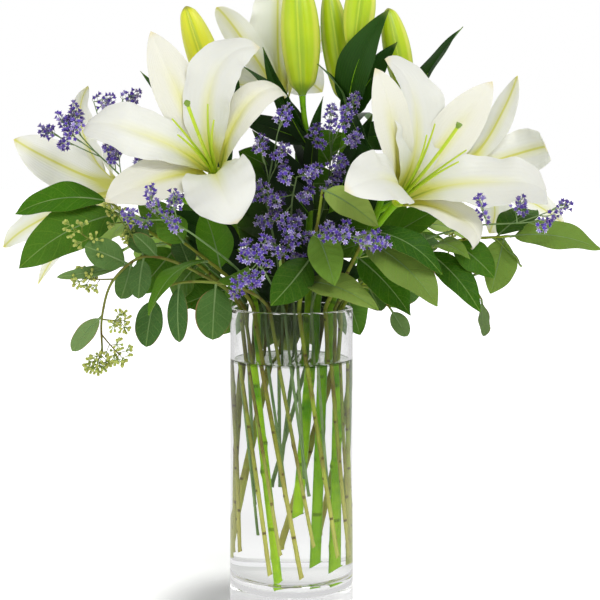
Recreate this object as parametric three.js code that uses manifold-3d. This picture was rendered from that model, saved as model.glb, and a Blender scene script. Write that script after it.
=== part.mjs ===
// Lilies in a glass vase: five white lily blooms and five green buds on four leafy stems,
// with sprays of violet sea lavender, leafy shallon branches and seeded eucalyptus, in a clear
// cylinder vase of water. Millimetres, +Z up. The origin is the middle of the vase's flat foot,
// and -Y is the front, where the two large open blooms face.
import * as THREE from "three";
import { mergeVertices } from "three/addons/utils/BufferGeometryUtils.js";
import Module from "manifold-3d";

const wasm = await Module();
wasm.setup();

// Driving dimensions.
const vase = { radius: 50.8, height: 242, wall: 3, floor: 15, foot: 2, lip: 1.2, sides: 32 };
const water = { level: 200, gap: 0.3, sides: 32 };
const hole = { clearance: 0.4 };
const turn = { real: 0.45, imag: 0.8 }; // where a stem's place at the rim comes to at the floor
const seat = 0.3; // gap between a stalk and the bloom or bud that it carries
const blade = { petal: 0.9, leaf: 0.7 };
const petalSteps = 84;

const colours = {
  glass: 0xe9eeee,
  water: 0xdfe9e6,
  petal: 0xf4f4ec,
  filament: 0xa9c23a,
  bud: 0xb4cc3a,
  lilyGreen: 0x4f9a2e,
  shallon: 0x3c7a28,
  eucalyptus: 0x5f8a5c,
  lavender: 0x5d4bb0,
};

const V = (x, y, z) => new THREE.Vector3(x, y, z);
const rad = THREE.MathUtils.degToRad;

// A point that is dist along dir from p.
function along(p, dir, dist) {
  return p.clone().addScaledVector(dir, dist);
}

// Solids and meshes.

function solid(geometry) {
  const g = geometry.clone();
  g.deleteAttribute("normal");
  g.deleteAttribute("uv");
  const merged = mergeVertices(g, 1e-4);
  return new wasm.Manifold(
    new wasm.Mesh({
      numProp: 3,
      vertProperties: merged.attributes.position.array,
      triVerts: new Uint32Array(merged.index.array),
    }),
  );
}

function fuse(solids) {
  return wasm.Manifold.union(solids);
}

// The largest body of a solid: a scrap that a join leaves loose is dropped.
function largest(made) {
  const bodies = made.decompose().sort((a, b) => b.volume() - a.volume());
  return bodies[0];
}

const group = new THREE.Group();
group.name = "lilies_in_a_vase";

function add(name, made, colour, roughness, extra = {}) {
  const mesh = made.getMesh();
  const points = new Float32Array(mesh.numVert * 3);
  for (let i = 0; i < mesh.numVert; i++) {
    points.set(mesh.vertProperties.subarray(i * mesh.numProp, i * mesh.numProp + 3), i * 3);
  }
  const geometry = new THREE.BufferGeometry();
  geometry.setAttribute("position", new THREE.BufferAttribute(points, 3));
  geometry.setIndex(new THREE.BufferAttribute(new Uint32Array(mesh.triVerts), 1));
  geometry.computeVertexNormals();
  const material = new THREE.MeshStandardMaterial({ color: colour, roughness, metalness: 0, ...extra });
  const piece = new THREE.Mesh(geometry, material);
  piece.name = name;
  group.add(piece);
}

// A geometry from points and triangles.
function faceted(points, triangles) {
  const geometry = new THREE.BufferGeometry();
  geometry.setAttribute("position", new THREE.Float32BufferAttribute(points.flatMap((p) => p.toArray()), 3));
  geometry.setIndex(triangles.flat());
  return geometry;
}

// A round rod along points, with a radius at each point. slant cuts the first end at an angle,
// and turns says by how many corners each ring is turned.
function rod(points, radii, sides, slant = 0, turns = []) {
  const count = points.length;
  const dirs = points.map((p, i) => {
    const before = points[Math.max(i - 1, 0)];
    const after = points[Math.min(i + 1, count - 1)];
    return after.clone().sub(before).normalize();
  });
  const seed = Math.abs(dirs[0].z) > 0.9 ? V(1, 0, 0) : V(0, 0, 1);
  let side = seed.clone().addScaledVector(dirs[0], -seed.dot(dirs[0])).normalize();
  const ring = [];
  points.forEach((p, i) => {
    side = side.clone().addScaledVector(dirs[i], -side.dot(dirs[i])).normalize();
    const other = dirs[i].clone().cross(side);
    for (let j = 0; j < sides; j++) {
      const a = (2 * Math.PI * (j + (turns[i] ?? 0))) / sides;
      const place = along(along(p, side, radii[i] * Math.cos(a)), other, radii[i] * Math.sin(a));
      if (i === 0) place.addScaledVector(dirs[0], slant * radii[0] * (1 + Math.cos(a)));
      ring.push(place);
    }
  });
  const triangles = [];
  for (let i = 0; i + 1 < count; i++) {
    for (let j = 0; j < sides; j++) {
      const a = i * sides + j;
      const b = i * sides + ((j + 1) % sides);
      triangles.push([a, b, b + sides], [a, b + sides, a + sides]);
    }
  }
  const last = (count - 1) * sides;
  for (let j = 1; j + 1 < sides; j++) {
    triangles.push([0, j + 1, j], [last, last + j, last + j + 1]);
  }
  return solid(faceted(ring, triangles));
}

// A thin closed blade on rows of { centre, side, normal, half, rise }, across strips wide.
// The first and last row are points. Both faces are split alike.
function bladeOn(rows, across, thick) {
  const last = rows.length - 1;
  const points = [];
  const steps = Array.from({ length: across + 1 }, (_, j) => (2 * j) / across - 1);
  const index = rows.map((row, i) => {
    return (i === 0 || i === last ? [0] : steps).map((t) => {
      const place = along(along(row.centre, row.side, row.half * t), row.normal, row.rise(t));
      points.push(along(place, row.normal, thick / 2), along(place, row.normal, -thick / 2));
      return points.length - 2;
    });
  });
  const triangles = [];
  const face = (a, b, c) => triangles.push([a, b, c], [a + 1, c + 1, b + 1]);
  for (let i = 0; i < last; i++) {
    for (let j = 0; j < across; j++) {
      const a = index[i][Math.min(j, index[i].length - 1)];
      const b = index[i][Math.min(j + 1, index[i].length - 1)];
      const c = index[i + 1][Math.min(j, index[i + 1].length - 1)];
      const d = index[i + 1][Math.min(j + 1, index[i + 1].length - 1)];
      if (a === b) face(a, c, d);
      else if (c === d) face(a, c, b);
      else if (j < across / 2) face(a, c, b), face(b, c, d);
      else face(a, c, d), face(a, d, b);
    }
    for (const [edge, flip] of [[0, true], [-1, false]]) {
      const a = index[i].at(edge);
      const c = index[i + 1].at(edge);
      if (flip) triangles.push([a, c + 1, c], [a, a + 1, c + 1]);
      else triangles.push([a, c, c + 1], [a, c + 1, a + 1]);
    }
  }
  return solid(faceted(points, triangles));
}

// A share of full width: 0 at both ends, 1 where it is widest.
function outline(s, rise, fall) {
  const widest = rise / (rise + fall);
  return (s ** rise * (1 - s) ** fall) / (widest ** rise * (1 - widest) ** fall);
}

const smooth = (x) => {
  const c = Math.min(Math.max(x, 0), 1);
  return c * c * (3 - 2 * c);
};

// Leaves.

const leafKinds = {
  shallon: { rise: 0.75, fall: 0.95, fold: 0.12, rows: 4, across: 2 },
  round: { rise: 0.6, fall: 0.6, fold: 0.04, rows: 4, across: 1 },
  lily: { rise: 0.55, fall: 1.0, fold: 0.25, rows: 4, across: 2 },
};

// A leaf from its stem to its tip. face is the way its upper side looks, bow its arch.
function leafRows(from, leaf, kind) {
  const to = V(...leaf.to);
  const chord = to.clone().sub(from);
  const length = chord.length();
  const dir = chord.clone().normalize();
  const face = V(...leaf.face);
  const normal = face.addScaledVector(dir, -face.dot(dir)).normalize();
  const bow = (leaf.bow ?? 0.1) * length;
  return Array.from({ length: kind.rows + 1 }, (_, i) => {
    const s = i / kind.rows;
    const centre = along(along(from, chord, s), normal, bow * 4 * s * (1 - s));
    const ahead = chord.clone().addScaledVector(normal, bow * 4 * (1 - 2 * s)).normalize();
    const flat = normal.clone().addScaledVector(ahead, -normal.dot(ahead)).normalize();
    const side = flat.clone().cross(ahead);
    const twist = rad(leaf.twist ?? 0) * s;
    flat.applyAxisAngle(ahead, twist);
    side.applyAxisAngle(ahead, twist);
    const half = (leaf.width / 2) * outline(s, kind.rise, kind.fall);
    return { centre, side, normal: flat, half, rise: (t) => kind.fold * half * Math.abs(t) };
  });
}

function leafOn(from, leaf, kind) {
  return bladeOn(leafRows(from, leaf, kind), kind.across, blade.leaf);
}

// Stems.

const atFloor = (x, y) => [turn.real * x - turn.imag * y, turn.imag * x + turn.real * y];

// A stem's point at a height below the rim: each stem is straight there, and all turn together.
function inVase(rim, z) {
  const t = (vase.height - z) / (vase.height - vase.floor);
  const [fx, fy] = atFloor(...rim);
  return V(rim[0] + (fx - rim[0]) * t, rim[1] + (fy - rim[1]) * t, z);
}

// The stem above the rim, on a smooth curve through its way points.
function upper(stem) {
  const low = inVase(stem.rim, vase.height - 50);
  const points = [low, inVase(stem.rim, vase.height), ...stem.way.map((p) => V(...p))];
  const curve = new THREE.CatmullRomCurve3(points, false, "catmullrom", 0.5);
  const first = 1 / (points.length - 1);
  return (t) => curve.getPoint(first + (1 - first) * t);
}

function stemRod(stem, kind) {
  const place = upper(stem);
  const count = Math.round(1.5 * stem.way.length);
  const points = [inVase(stem.rim, stem.foot)];
  const radii = [kind.radius];
  for (let i = 0; i <= count; i++) {
    points.push(place(i / count));
    radii.push(kind.radius + (kind.tip - kind.radius) * (i / count));
  }
  return rod(points, radii, kind.sides, kind.slant ?? 0);
}

// A bent stalk that leaves a stem and ends at a point, heading along dir.
function stalk(from, to, dir, radius, steps, sides, reach = 22) {
  const curve = new THREE.QuadraticBezierCurve3(from, along(to, dir, -reach), to);
  const points = curve.getPoints(steps);
  return rod(points, points.map(() => radius), sides);
}

const stemKinds = {
  lily: { radius: 3.1, tip: 2.4, sides: 6, slant: 0.9 },
  shallon: { radius: 1.7, tip: 1.0, sides: 5, slant: 0.5 },
  eucalyptus: { radius: 1.4, tip: 0.8, sides: 5, slant: 0.5 },
  lavender: { radius: 1.4, tip: 0.9, sides: 3 },
};

// Lily blooms.

const petalKinds = {
  inner: { width: 47, rise: 1.15, fall: 0.8, root: 2.4, back: 0, wave: 0.1 },
  outer: { width: 35, rise: 1.0, fall: 0.85, root: 4.6, back: 4, wave: 0.05 },
};

// The lean of a petal away from the bloom's axis, in radians.
function lean(petal, s) {
  const curl = Math.max(0, (s - petal.curlFrom) / (1 - petal.curlFrom));
  const open = petal.throat + (petal.open - petal.throat) * smooth(s / 0.55);
  return rad(petalKinds[petal.kind].back + open + petal.curl * curl ** 1.5);
}

// The axes of a bloom: its own axis, and two across it.
function axesOf(bloom) {
  const w = V(...bloom.axis).normalize();
  const e1 = V(0, 0, 1).cross(w).normalize();
  return { w, e1, e2: w.clone().cross(e1) };
}

function petalRows(bloom, petal, count) {
  const { w, e1, e2 } = axesOf(bloom);
  const kind = petalKinds[petal.kind];
  const step = petal.length / petalSteps;
  const ways = (s) => {
    const around = rad(petal.around + petal.sway * s * s);
    const u = e1.clone().multiplyScalar(Math.cos(around)).addScaledVector(e2, Math.sin(around));
    const theta = lean(petal, s);
    const dir = w.clone().multiplyScalar(Math.cos(theta)).addScaledVector(u, Math.sin(theta));
    return { u, theta, dir, v: w.clone().cross(u) };
  };
  const centre = along(V(...bloom.at), ways(0).u, kind.root);
  const rows = [];
  let radius = kind.root;
  for (let k = 0; k <= petalSteps; k++) {
    const s = k / petalSteps;
    const { theta, dir, v } = ways(s);
    if (k % (petalSteps / count) === 0) {
      const half = ((petal.width ?? kind.width) / 2) * outline(s, kind.rise, kind.fall);
      const twist = rad(petal.twist ?? 0) * s;
      const side = v.clone().applyAxisAngle(dir, twist);
      const bend = (0.85 * Math.cos(theta)) / (2 * Math.max(radius, 5));
      const wave = kind.wave * half;
      const phase = 2 * Math.PI * (1.6 * s + petal.around / 90);
      rows.push({
        centre: centre.clone(),
        side,
        normal: dir.clone().cross(side),
        half,
        rise: (t) => bend * (half * t) ** 2 + wave * t * t * Math.sin(phase + (t < 0 ? 2 : 0)),
      });
    }
    const mid = ways(s + 0.5 / petalSteps);
    centre.addScaledVector(mid.dir, step);
    radius += Math.sin(mid.theta) * step;
  }
  return rows;
}

// The small green-white seat where the petals join the stalk.
const receptacle = { back: 3, radius: 4.2, wide: 6, top: 4, sides: 8 };

// Turns a shape made round +Z to stand at a point along an axis.
function standing(geometry, at, axis) {
  const spin = new THREE.Quaternion().setFromUnitVectors(V(0, 0, 1), axis);
  return geometry.applyQuaternion(spin).translate(at.x, at.y, at.z);
}

function bloomSolid(bloom) {
  const { w } = axesOf(bloom);
  const profile = [
    [0, -receptacle.back],
    [receptacle.radius, -receptacle.back],
    [receptacle.wide, receptacle.top - 2],
    [0, receptacle.top],
  ];
  const cup = new THREE.LatheGeometry(profile.map((p) => new THREE.Vector2(...p)), receptacle.sides);
  const upright = cup.rotateX(Math.PI / 2);
  const parts = [solid(standing(upright, V(...bloom.at), w))];
  for (const petal of bloom.petals) {
    parts.push(bladeOn(petalRows(bloom, petal, bloom.steps), bloom.across, blade.petal));
  }
  return fuse(parts);
}

// The pistil and the six filaments, whose anthers have been taken off, as florists do.
const heart = { ovary: 2.7, style: 1.5, stigma: 3.2, filament: 1.1, tip: 0.5, spread: 1.8, lift: 0.1 };

function heartSolid(bloom) {
  const { w, e1, e2 } = axesOf(bloom);
  const base = along(V(...bloom.at), w, receptacle.top + seat);
  const lift = V(0, 0, heart.lift);
  const reach = bloom.reach ?? 90;
  const tip = along(base, w, reach).addScaledVector(lift, reach);
  const bend = new THREE.QuadraticBezierCurve3(base, along(base, w, reach * 0.55), tip);
  const spots = [0, 0.25, 0.6, 0.95, 1];
  const radii = [heart.ovary, heart.style, heart.style, heart.style, heart.stigma];
  const parts = [rod(spots.map((t) => bend.getPoint(t)), radii, 6)];
  for (let i = 0; i < 6; i++) {
    const a = rad(60 * i + bloom.petals[0].around + 20);
    const u = e1.clone().multiplyScalar(Math.cos(a)).addScaledVector(e2, Math.sin(a));
    const root = along(along(base, w, 1), u, heart.spread);
    const end = along(along(base, w, reach * 0.8), u, reach * 0.22).addScaledVector(lift, reach * 0.6);
    const arc = new THREE.QuadraticBezierCurve3(root, along(along(base, w, reach * 0.45), u, 5), end);
    const places = [0, 0.6, 1].map((t) => arc.getPoint(t));
    parts.push(rod(places, [heart.filament, heart.filament, heart.tip], 3));
  }
  return fuse(parts);
}

// Buds: six shallow lobes, widest past the middle, closing to a blunt point.
const budShape = { sides: 9, lobe: 0.07, foot: 3.2 };

function budSolid(bud) {
  const from = V(...bud.from);
  const dir = V(...bud.to).sub(from);
  const length = dir.length();
  dir.normalize();
  const spots = [0, 0.08, 0.28, 0.5, 0.72, 0.9, 1];
  const points = [];
  const triangles = [];
  const n = budShape.sides;
  spots.forEach((s, i) => {
    const swell = Math.max(0, 0.16 + 0.84 * outline(0.06 + 0.9 * s, 0.75, 0.62) - 0.16 * s * s);
    const radius = i === 0 ? budShape.foot : i === spots.length - 1 ? 1.6 : (bud.width / 2) * swell;
    for (let j = 0; j < n; j++) {
      const a = (2 * Math.PI * j) / n;
      const r = radius * (1 + (i > 0 && i < 6 ? budShape.lobe * Math.cos(3 * a) : 0));
      points.push(V(r * Math.cos(a), r * Math.sin(a), s * length));
    }
  });
  for (let i = 0; i + 1 < spots.length; i++) {
    for (let j = 0; j < n; j++) {
      const a = i * n + j;
      const b = i * n + ((j + 1) % n);
      triangles.push([a, b, b + n], [a, b + n, a + n]);
    }
  }
  const last = (spots.length - 1) * n;
  for (let j = 1; j + 1 < n; j++) triangles.push([0, j + 1, j], [last, last + j, last + j + 1]);
  return solid(standing(faceted(points, triangles), from, dir));
}

// Sea lavender: a twig that ends in whorls of pointed florets, each turned half a floret.
const floret = { twig: 0.7, neck: 1.3, whorls: 3, sides: 3, low: 0.1, high: 0.72 };

function floretHead(from, twig) {
  const start = V(...twig.from);
  const end = V(...twig.to);
  const half = (twig.width ?? 13) / 2;
  const points = [from, start];
  const radii = [floret.twig, floret.twig];
  const turns = [0, 0];
  for (let k = 0; k < floret.whorls; k++) {
    points.push(start.clone().lerp(end, (k + floret.low) / floret.whorls));
    points.push(start.clone().lerp(end, (k + floret.high) / floret.whorls));
    radii.push(floret.neck, half * (1 - 0.12 * k));
    turns.push(k / 2, k / 2);
  }
  points.push(along(end, end.clone().sub(start).normalize(), 2));
  radii.push(floret.twig);
  turns.push(floret.whorls / 2);
  return rod(points, radii, floret.sides, 0, turns);
}

function lavenderSolid(spray) {
  const place = upper(spray);
  const parts = [stemRod(spray, stemKinds.lavender)];
  for (const twig of spray.twigs) parts.push(floretHead(place(twig.at), twig));
  return fuse(parts);
}

// Seeded eucalyptus: small urns on short stalks, spaced along a twig and turned by a fixed angle.
const urn = { twig: 0.8, stalk: 0.6, mouth: 2.0, length: 10, turn: 137.5, lean: 52 };

function seedTwig(from, tuft) {
  const to = V(...tuft.to);
  const axis = to.clone().sub(from).normalize();
  const across = (Math.abs(axis.z) > 0.9 ? V(1, 0, 0) : V(0, 0, 1)).cross(axis).normalize();
  const parts = [rod([from, to], [urn.twig, urn.twig], 3)];
  for (let i = 0; i < tuft.count; i++) {
    const root = from.clone().lerp(to, 0.98 - (0.6 * i) / tuft.count);
    const out = across.clone().applyAxisAngle(axis, rad(urn.turn * i));
    const slope = rad(i === 0 ? 12 : urn.lean);
    const way = axis.clone().multiplyScalar(Math.cos(slope)).addScaledVector(out, Math.sin(slope));
    parts.push(rod([root, along(root, way, urn.length)], [urn.stalk, urn.mouth], 3));
  }
  return parts;
}

// A leafy stem: the rod, its leaves and its seed twigs, all in one body.
function leafySolid(stem, kind, leafKind) {
  const place = upper(stem);
  const parts = [stemRod(stem, kind)];
  for (const leaf of stem.leaves) parts.push(leafOn(place(leaf.at), leaf, leafKind));
  for (const tuft of stem.tufts ?? []) parts.push(...seedTwig(place(tuft.at), tuft));
  return largest(fuse(parts));
}

// The five blooms. around is each petal's place round the axis, in degrees.
const p = (kind, around, length, throat, open, curl, curlFrom, sway, more = {}) => ({
  kind, around, length, throat, open, curl, curlFrom, sway, ...more,
});

const blooms = {
  left: {
    at: [-61, -30, 352],
    axis: [-0.22, -0.8, 0.56],
    reach: 78,
    steps: 6,
    across: 3,
    petals: [
      p("inner", 97, 130, 24, 54, 80, 0.5, -80, { width: 47 }),
      p("outer", 120, 126, 24, 54, 15, 0.7, 0, { width: 38 }),
      p("inner", 174, 128, 24, 62, 90, 0.62, 0, { width: 44 }),
      p("outer", 222, 100, 26, 62, 20, 0.6, 0, { width: 48 }),
      p("inner", 300, 94, 24, 62, 110, 0.5, 0, { width: 57 }),
      p("outer", 46, 114, 20, 50, 145, 0.48, -6, { width: 33 }),
    ],
  },
  right: {
    at: [86, -26, 330],
    axis: [0.48, -0.66, 0.58],
    reach: 84,
    steps: 6,
    across: 3,
    petals: [
      p("inner", 78, 128, 20, 52, 40, 0.6, 76, { width: 56 }),
      p("outer", 127, 118, 20, 42, 20, 0.7, 0, { twist: -50 }),
      p("inner", 193, 120, 24, 64, 60, 0.55, 0, { width: 50 }),
      p("outer", 300, 90, 26, 64, 140, 0.6, 0, { width: 36 }),
      p("inner", 335, 138, 22, 57, 100, 0.66, 0, { width: 54 }),
      p("outer", 40, 124, 20, 44, 15, 0.7, 0, { width: 38 }),
    ],
  },
  far_left: {
    at: [-145, 35, 339],
    axis: [-0.86, 0.42, 0.08],
    reach: 70,
    steps: 6,
    across: 2,
    petals: [
      p("outer", 25, 104, 24, 58, 20, 0.6, 0, { width: 40 }),
      p("inner", 85, 106, 24, 64, 70, 0.5, 0, { width: 40 }),
      p("outer", 145, 112, 24, 60, 70, 0.55, 0),
      p("inner", 205, 114, 24, 60, 70, 0.55, 0),
      p("outer", 278, 114, 24, 50, 20, 0.6, 0, { width: 24 }),
      p("inner", 325, 116, 24, 58, 40, 0.6, 0, { width: 30 }),
    ],
  },
  far_right: {
    at: [146, 35, 354],
    axis: [0.8, 0.5, 0.3],
    reach: 56,
    steps: 6,
    across: 2,
    petals: [
      p("outer", 121, 94, 24, 60, 20, 0.6, 0, { width: 26 }),
      p("inner", 172, 92, 24, 56, 90, 0.5, 0, { width: 38 }),
      p("outer", 241, 100, 24, 48, 20, 0.6, 0),
      p("inner", 301, 106, 24, 60, 60, 0.55, 0),
      p("outer", 1, 104, 24, 58, 70, 0.5, 0),
      p("inner", 52, 80, 24, 66, 110, 0.45, 0, { width: 34 }),
    ],
  },
  top: {
    at: [-7, 30, 415],
    axis: [-0.35, 0.55, 0.75],
    reach: 60,
    steps: 6,
    across: 2,
    petals: [
      p("outer", 38, 106, 24, 54, 60, 0.6, 0, { width: 26 }),
      p("inner", 82, 108, 24, 52, 10, 0.6, 0),
      p("outer", 146, 106, 24, 54, 60, 0.55, 0),
      p("inner", 204, 108, 24, 58, 70, 0.55, 0),
      p("outer", 264, 106, 24, 54, 60, 0.55, 0),
      p("inner", 322, 108, 24, 56, 70, 0.55, 0),
    ],
  },
};

// Buds, each on its own stalk.
const buds = {
  left: { from: [-58, 15, 404], to: [-88, 5, 492], width: 28 },
  centre: { from: [9, -5, 417], to: [4, -5, 516], width: 34 },
  inner_right: { from: [45, 12, 412], to: [31, 10, 506], width: 26 },
  outer_right: { from: [51, -14, 454], to: [59, -16, 517], width: 27 },
  right: { from: [95, 4, 418], to: [80, 2, 490], width: 24 },
};

// The lily stems. buds and blooms say how far up a side stalk leaves the stem, and what it ends in.
const lilyStems = {
  left: {
    rim: [-30, -6],
    foot: 20,
    way: [[-40, -2, 275], [-47, 6, 305], [-54, 14, 340], [-57, 18, 372]],
    buds: [{ at: 1, name: "left" }],
    blooms: [{ at: 0.5, name: "left" }, { at: 0.62, name: "far_left" }],
    leaves: [
      { at: 0.95, to: [-126, 6, 438], face: [-0.6, -0.6, 0.5], width: 13, bow: 0.05 },
      { at: 0.98, to: [-46, 2, 440], face: [0.4, -0.9, 0.2], width: 15, bow: 0.05 },
      { at: 0.7, to: [-100, 70, 372], face: [-0.2, 0.3, 0.9], width: 20, bow: 0.15 },
      { at: 0.35, to: [-104, -26, 322], face: [-0.1, -0.9, 0.3], width: 30, bow: 0.06 },
      { at: 0.2, to: [-86, -42, 302], face: [-0.1, -0.9, 0.4], width: 26, bow: 0.04 },
      { at: 0.15, to: [-18, 6, 246], face: [0.2, -0.9, 0.4], width: 26, bow: 0.05 },
      { at: 0.85, to: [-66, 96, 420], face: [0, -0.3, 0.9], width: 20, bow: 0.15 },
    ],
  },
  centre: {
    rim: [14, 8],
    foot: 67,
    way: [[14, 9, 290], [16, 6, 345], [14, 2, 385]],
    buds: [{ at: 1, name: "centre" }],
    blooms: [{ at: 0.85, name: "top" }],
    leaves: [
      { at: 0.9, to: [-24, 5, 458], face: [-0.6, -0.7, 0.3], width: 16, bow: 0.06 },
      { at: 0.98, to: [-42, 2, 443], face: [0.3, -0.6, 0.8], width: 15, bow: 0.06 },
      { at: 0.95, to: [-48, 43, 403], face: [0.3, -0.9, 0], width: 20, bow: 0.05 },
      { at: 0.65, to: [26, -10, 416], face: [-0.4, -0.9, 0.2], width: 14, bow: 0.05 },
      { at: 0.6, to: [-32, -20, 388], face: [-0.3, -0.8, 0.4], width: 22, bow: 0.1 },
      { at: 0.5, to: [-26, -30, 362], face: [-0.3, -0.8, 0.5], width: 22, bow: 0.1 },
      { at: 0.3, to: [-24, -26, 322], face: [-0.2, -0.9, 0.4], width: 24, bow: 0.1 },
      { at: 0.08, to: [-2, -2, 312], face: [0, -1, 0.2], width: 24, bow: 0.04 },
      { at: 0.7, to: [-8, 84, 402], face: [0, -0.5, 0.8], width: 20, bow: 0.12 },
    ],
  },
  inner_right: {
    rim: [21, -4],
    foot: 26,
    way: [[28, -2, 290], [37, -2, 340], [45, -2, 390], [48, -4, 412]],
    buds: [{ at: 0.8, name: "inner_right" }, { at: 1, name: "outer_right" }],
    blooms: [],
    leaves: [
      { at: 0.96, to: [78, -36, 484], face: [-0.3, -0.9, 0.3], width: 32, bow: 0.16 },
      { at: 0.9, to: [21, -18, 442], face: [0.2, -0.3, 0.9], width: 12, bow: 0.08 },
      { at: 0.94, to: [68, -34, 366], face: [-0.6, -0.8, -0.2], width: 22, bow: 0.08 },
      { at: 0.84, to: [66, 8, 430], face: [-0.4, -0.9, 0.1], width: 24, bow: 0.04 },
      { at: 0.4, to: [67, -6, 402], face: [-0.3, -0.9, 0.1], width: 22, bow: 0.05 },
      { at: 0.3, to: [52, -34, 322], face: [-0.2, -0.9, 0.4], width: 22, bow: 0.1 },
      { at: 0.1, to: [32, -22, 300], face: [0.1, -1, 0.2], width: 24, bow: 0.04 },
      { at: 0.15, to: [60, -18, 271], face: [-0.3, -0.9, 0.3], width: 26, bow: 0.05 },
      { at: 0.85, to: [86, -19, 460], face: [-0.3, -0.9, 0.3], width: 25, bow: 0.05 },
      { at: 0.75, to: [72, 92, 396], face: [0, -0.5, 0.8], width: 20, bow: 0.12 },
    ],
  },
  right: {
    rim: [32, -10],
    foot: 20,
    way: [[48, -9, 275], [62, -6, 300], [74, -2, 330], [86, 2, 372], [92, 4, 396]],
    buds: [{ at: 1, name: "right" }],
    blooms: [{ at: 0.3, name: "right" }, { at: 0.55, name: "far_right" }],
    leaves: [
      { at: 0.97, to: [143, 6, 475], face: [-0.4, -0.5, 0.8], width: 24, bow: 0.05 },
      { at: 0.9, to: [84, -12, 428], face: [-0.6, -0.8, 0.1], width: 12, bow: 0.05 },
      { at: 0.75, to: [120, 84, 396], face: [0, -0.4, 0.9], width: 20, bow: 0.12 },
      { at: 0.85, to: [52, 41, 385], face: [0, -0.9, 0.2], width: 26, bow: 0.05 },
      { at: 0.5, to: [60, 84, 352], face: [-0.3, 0.3, 0.9], width: 22, bow: 0.15 },
    ],
  },
};

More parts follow.
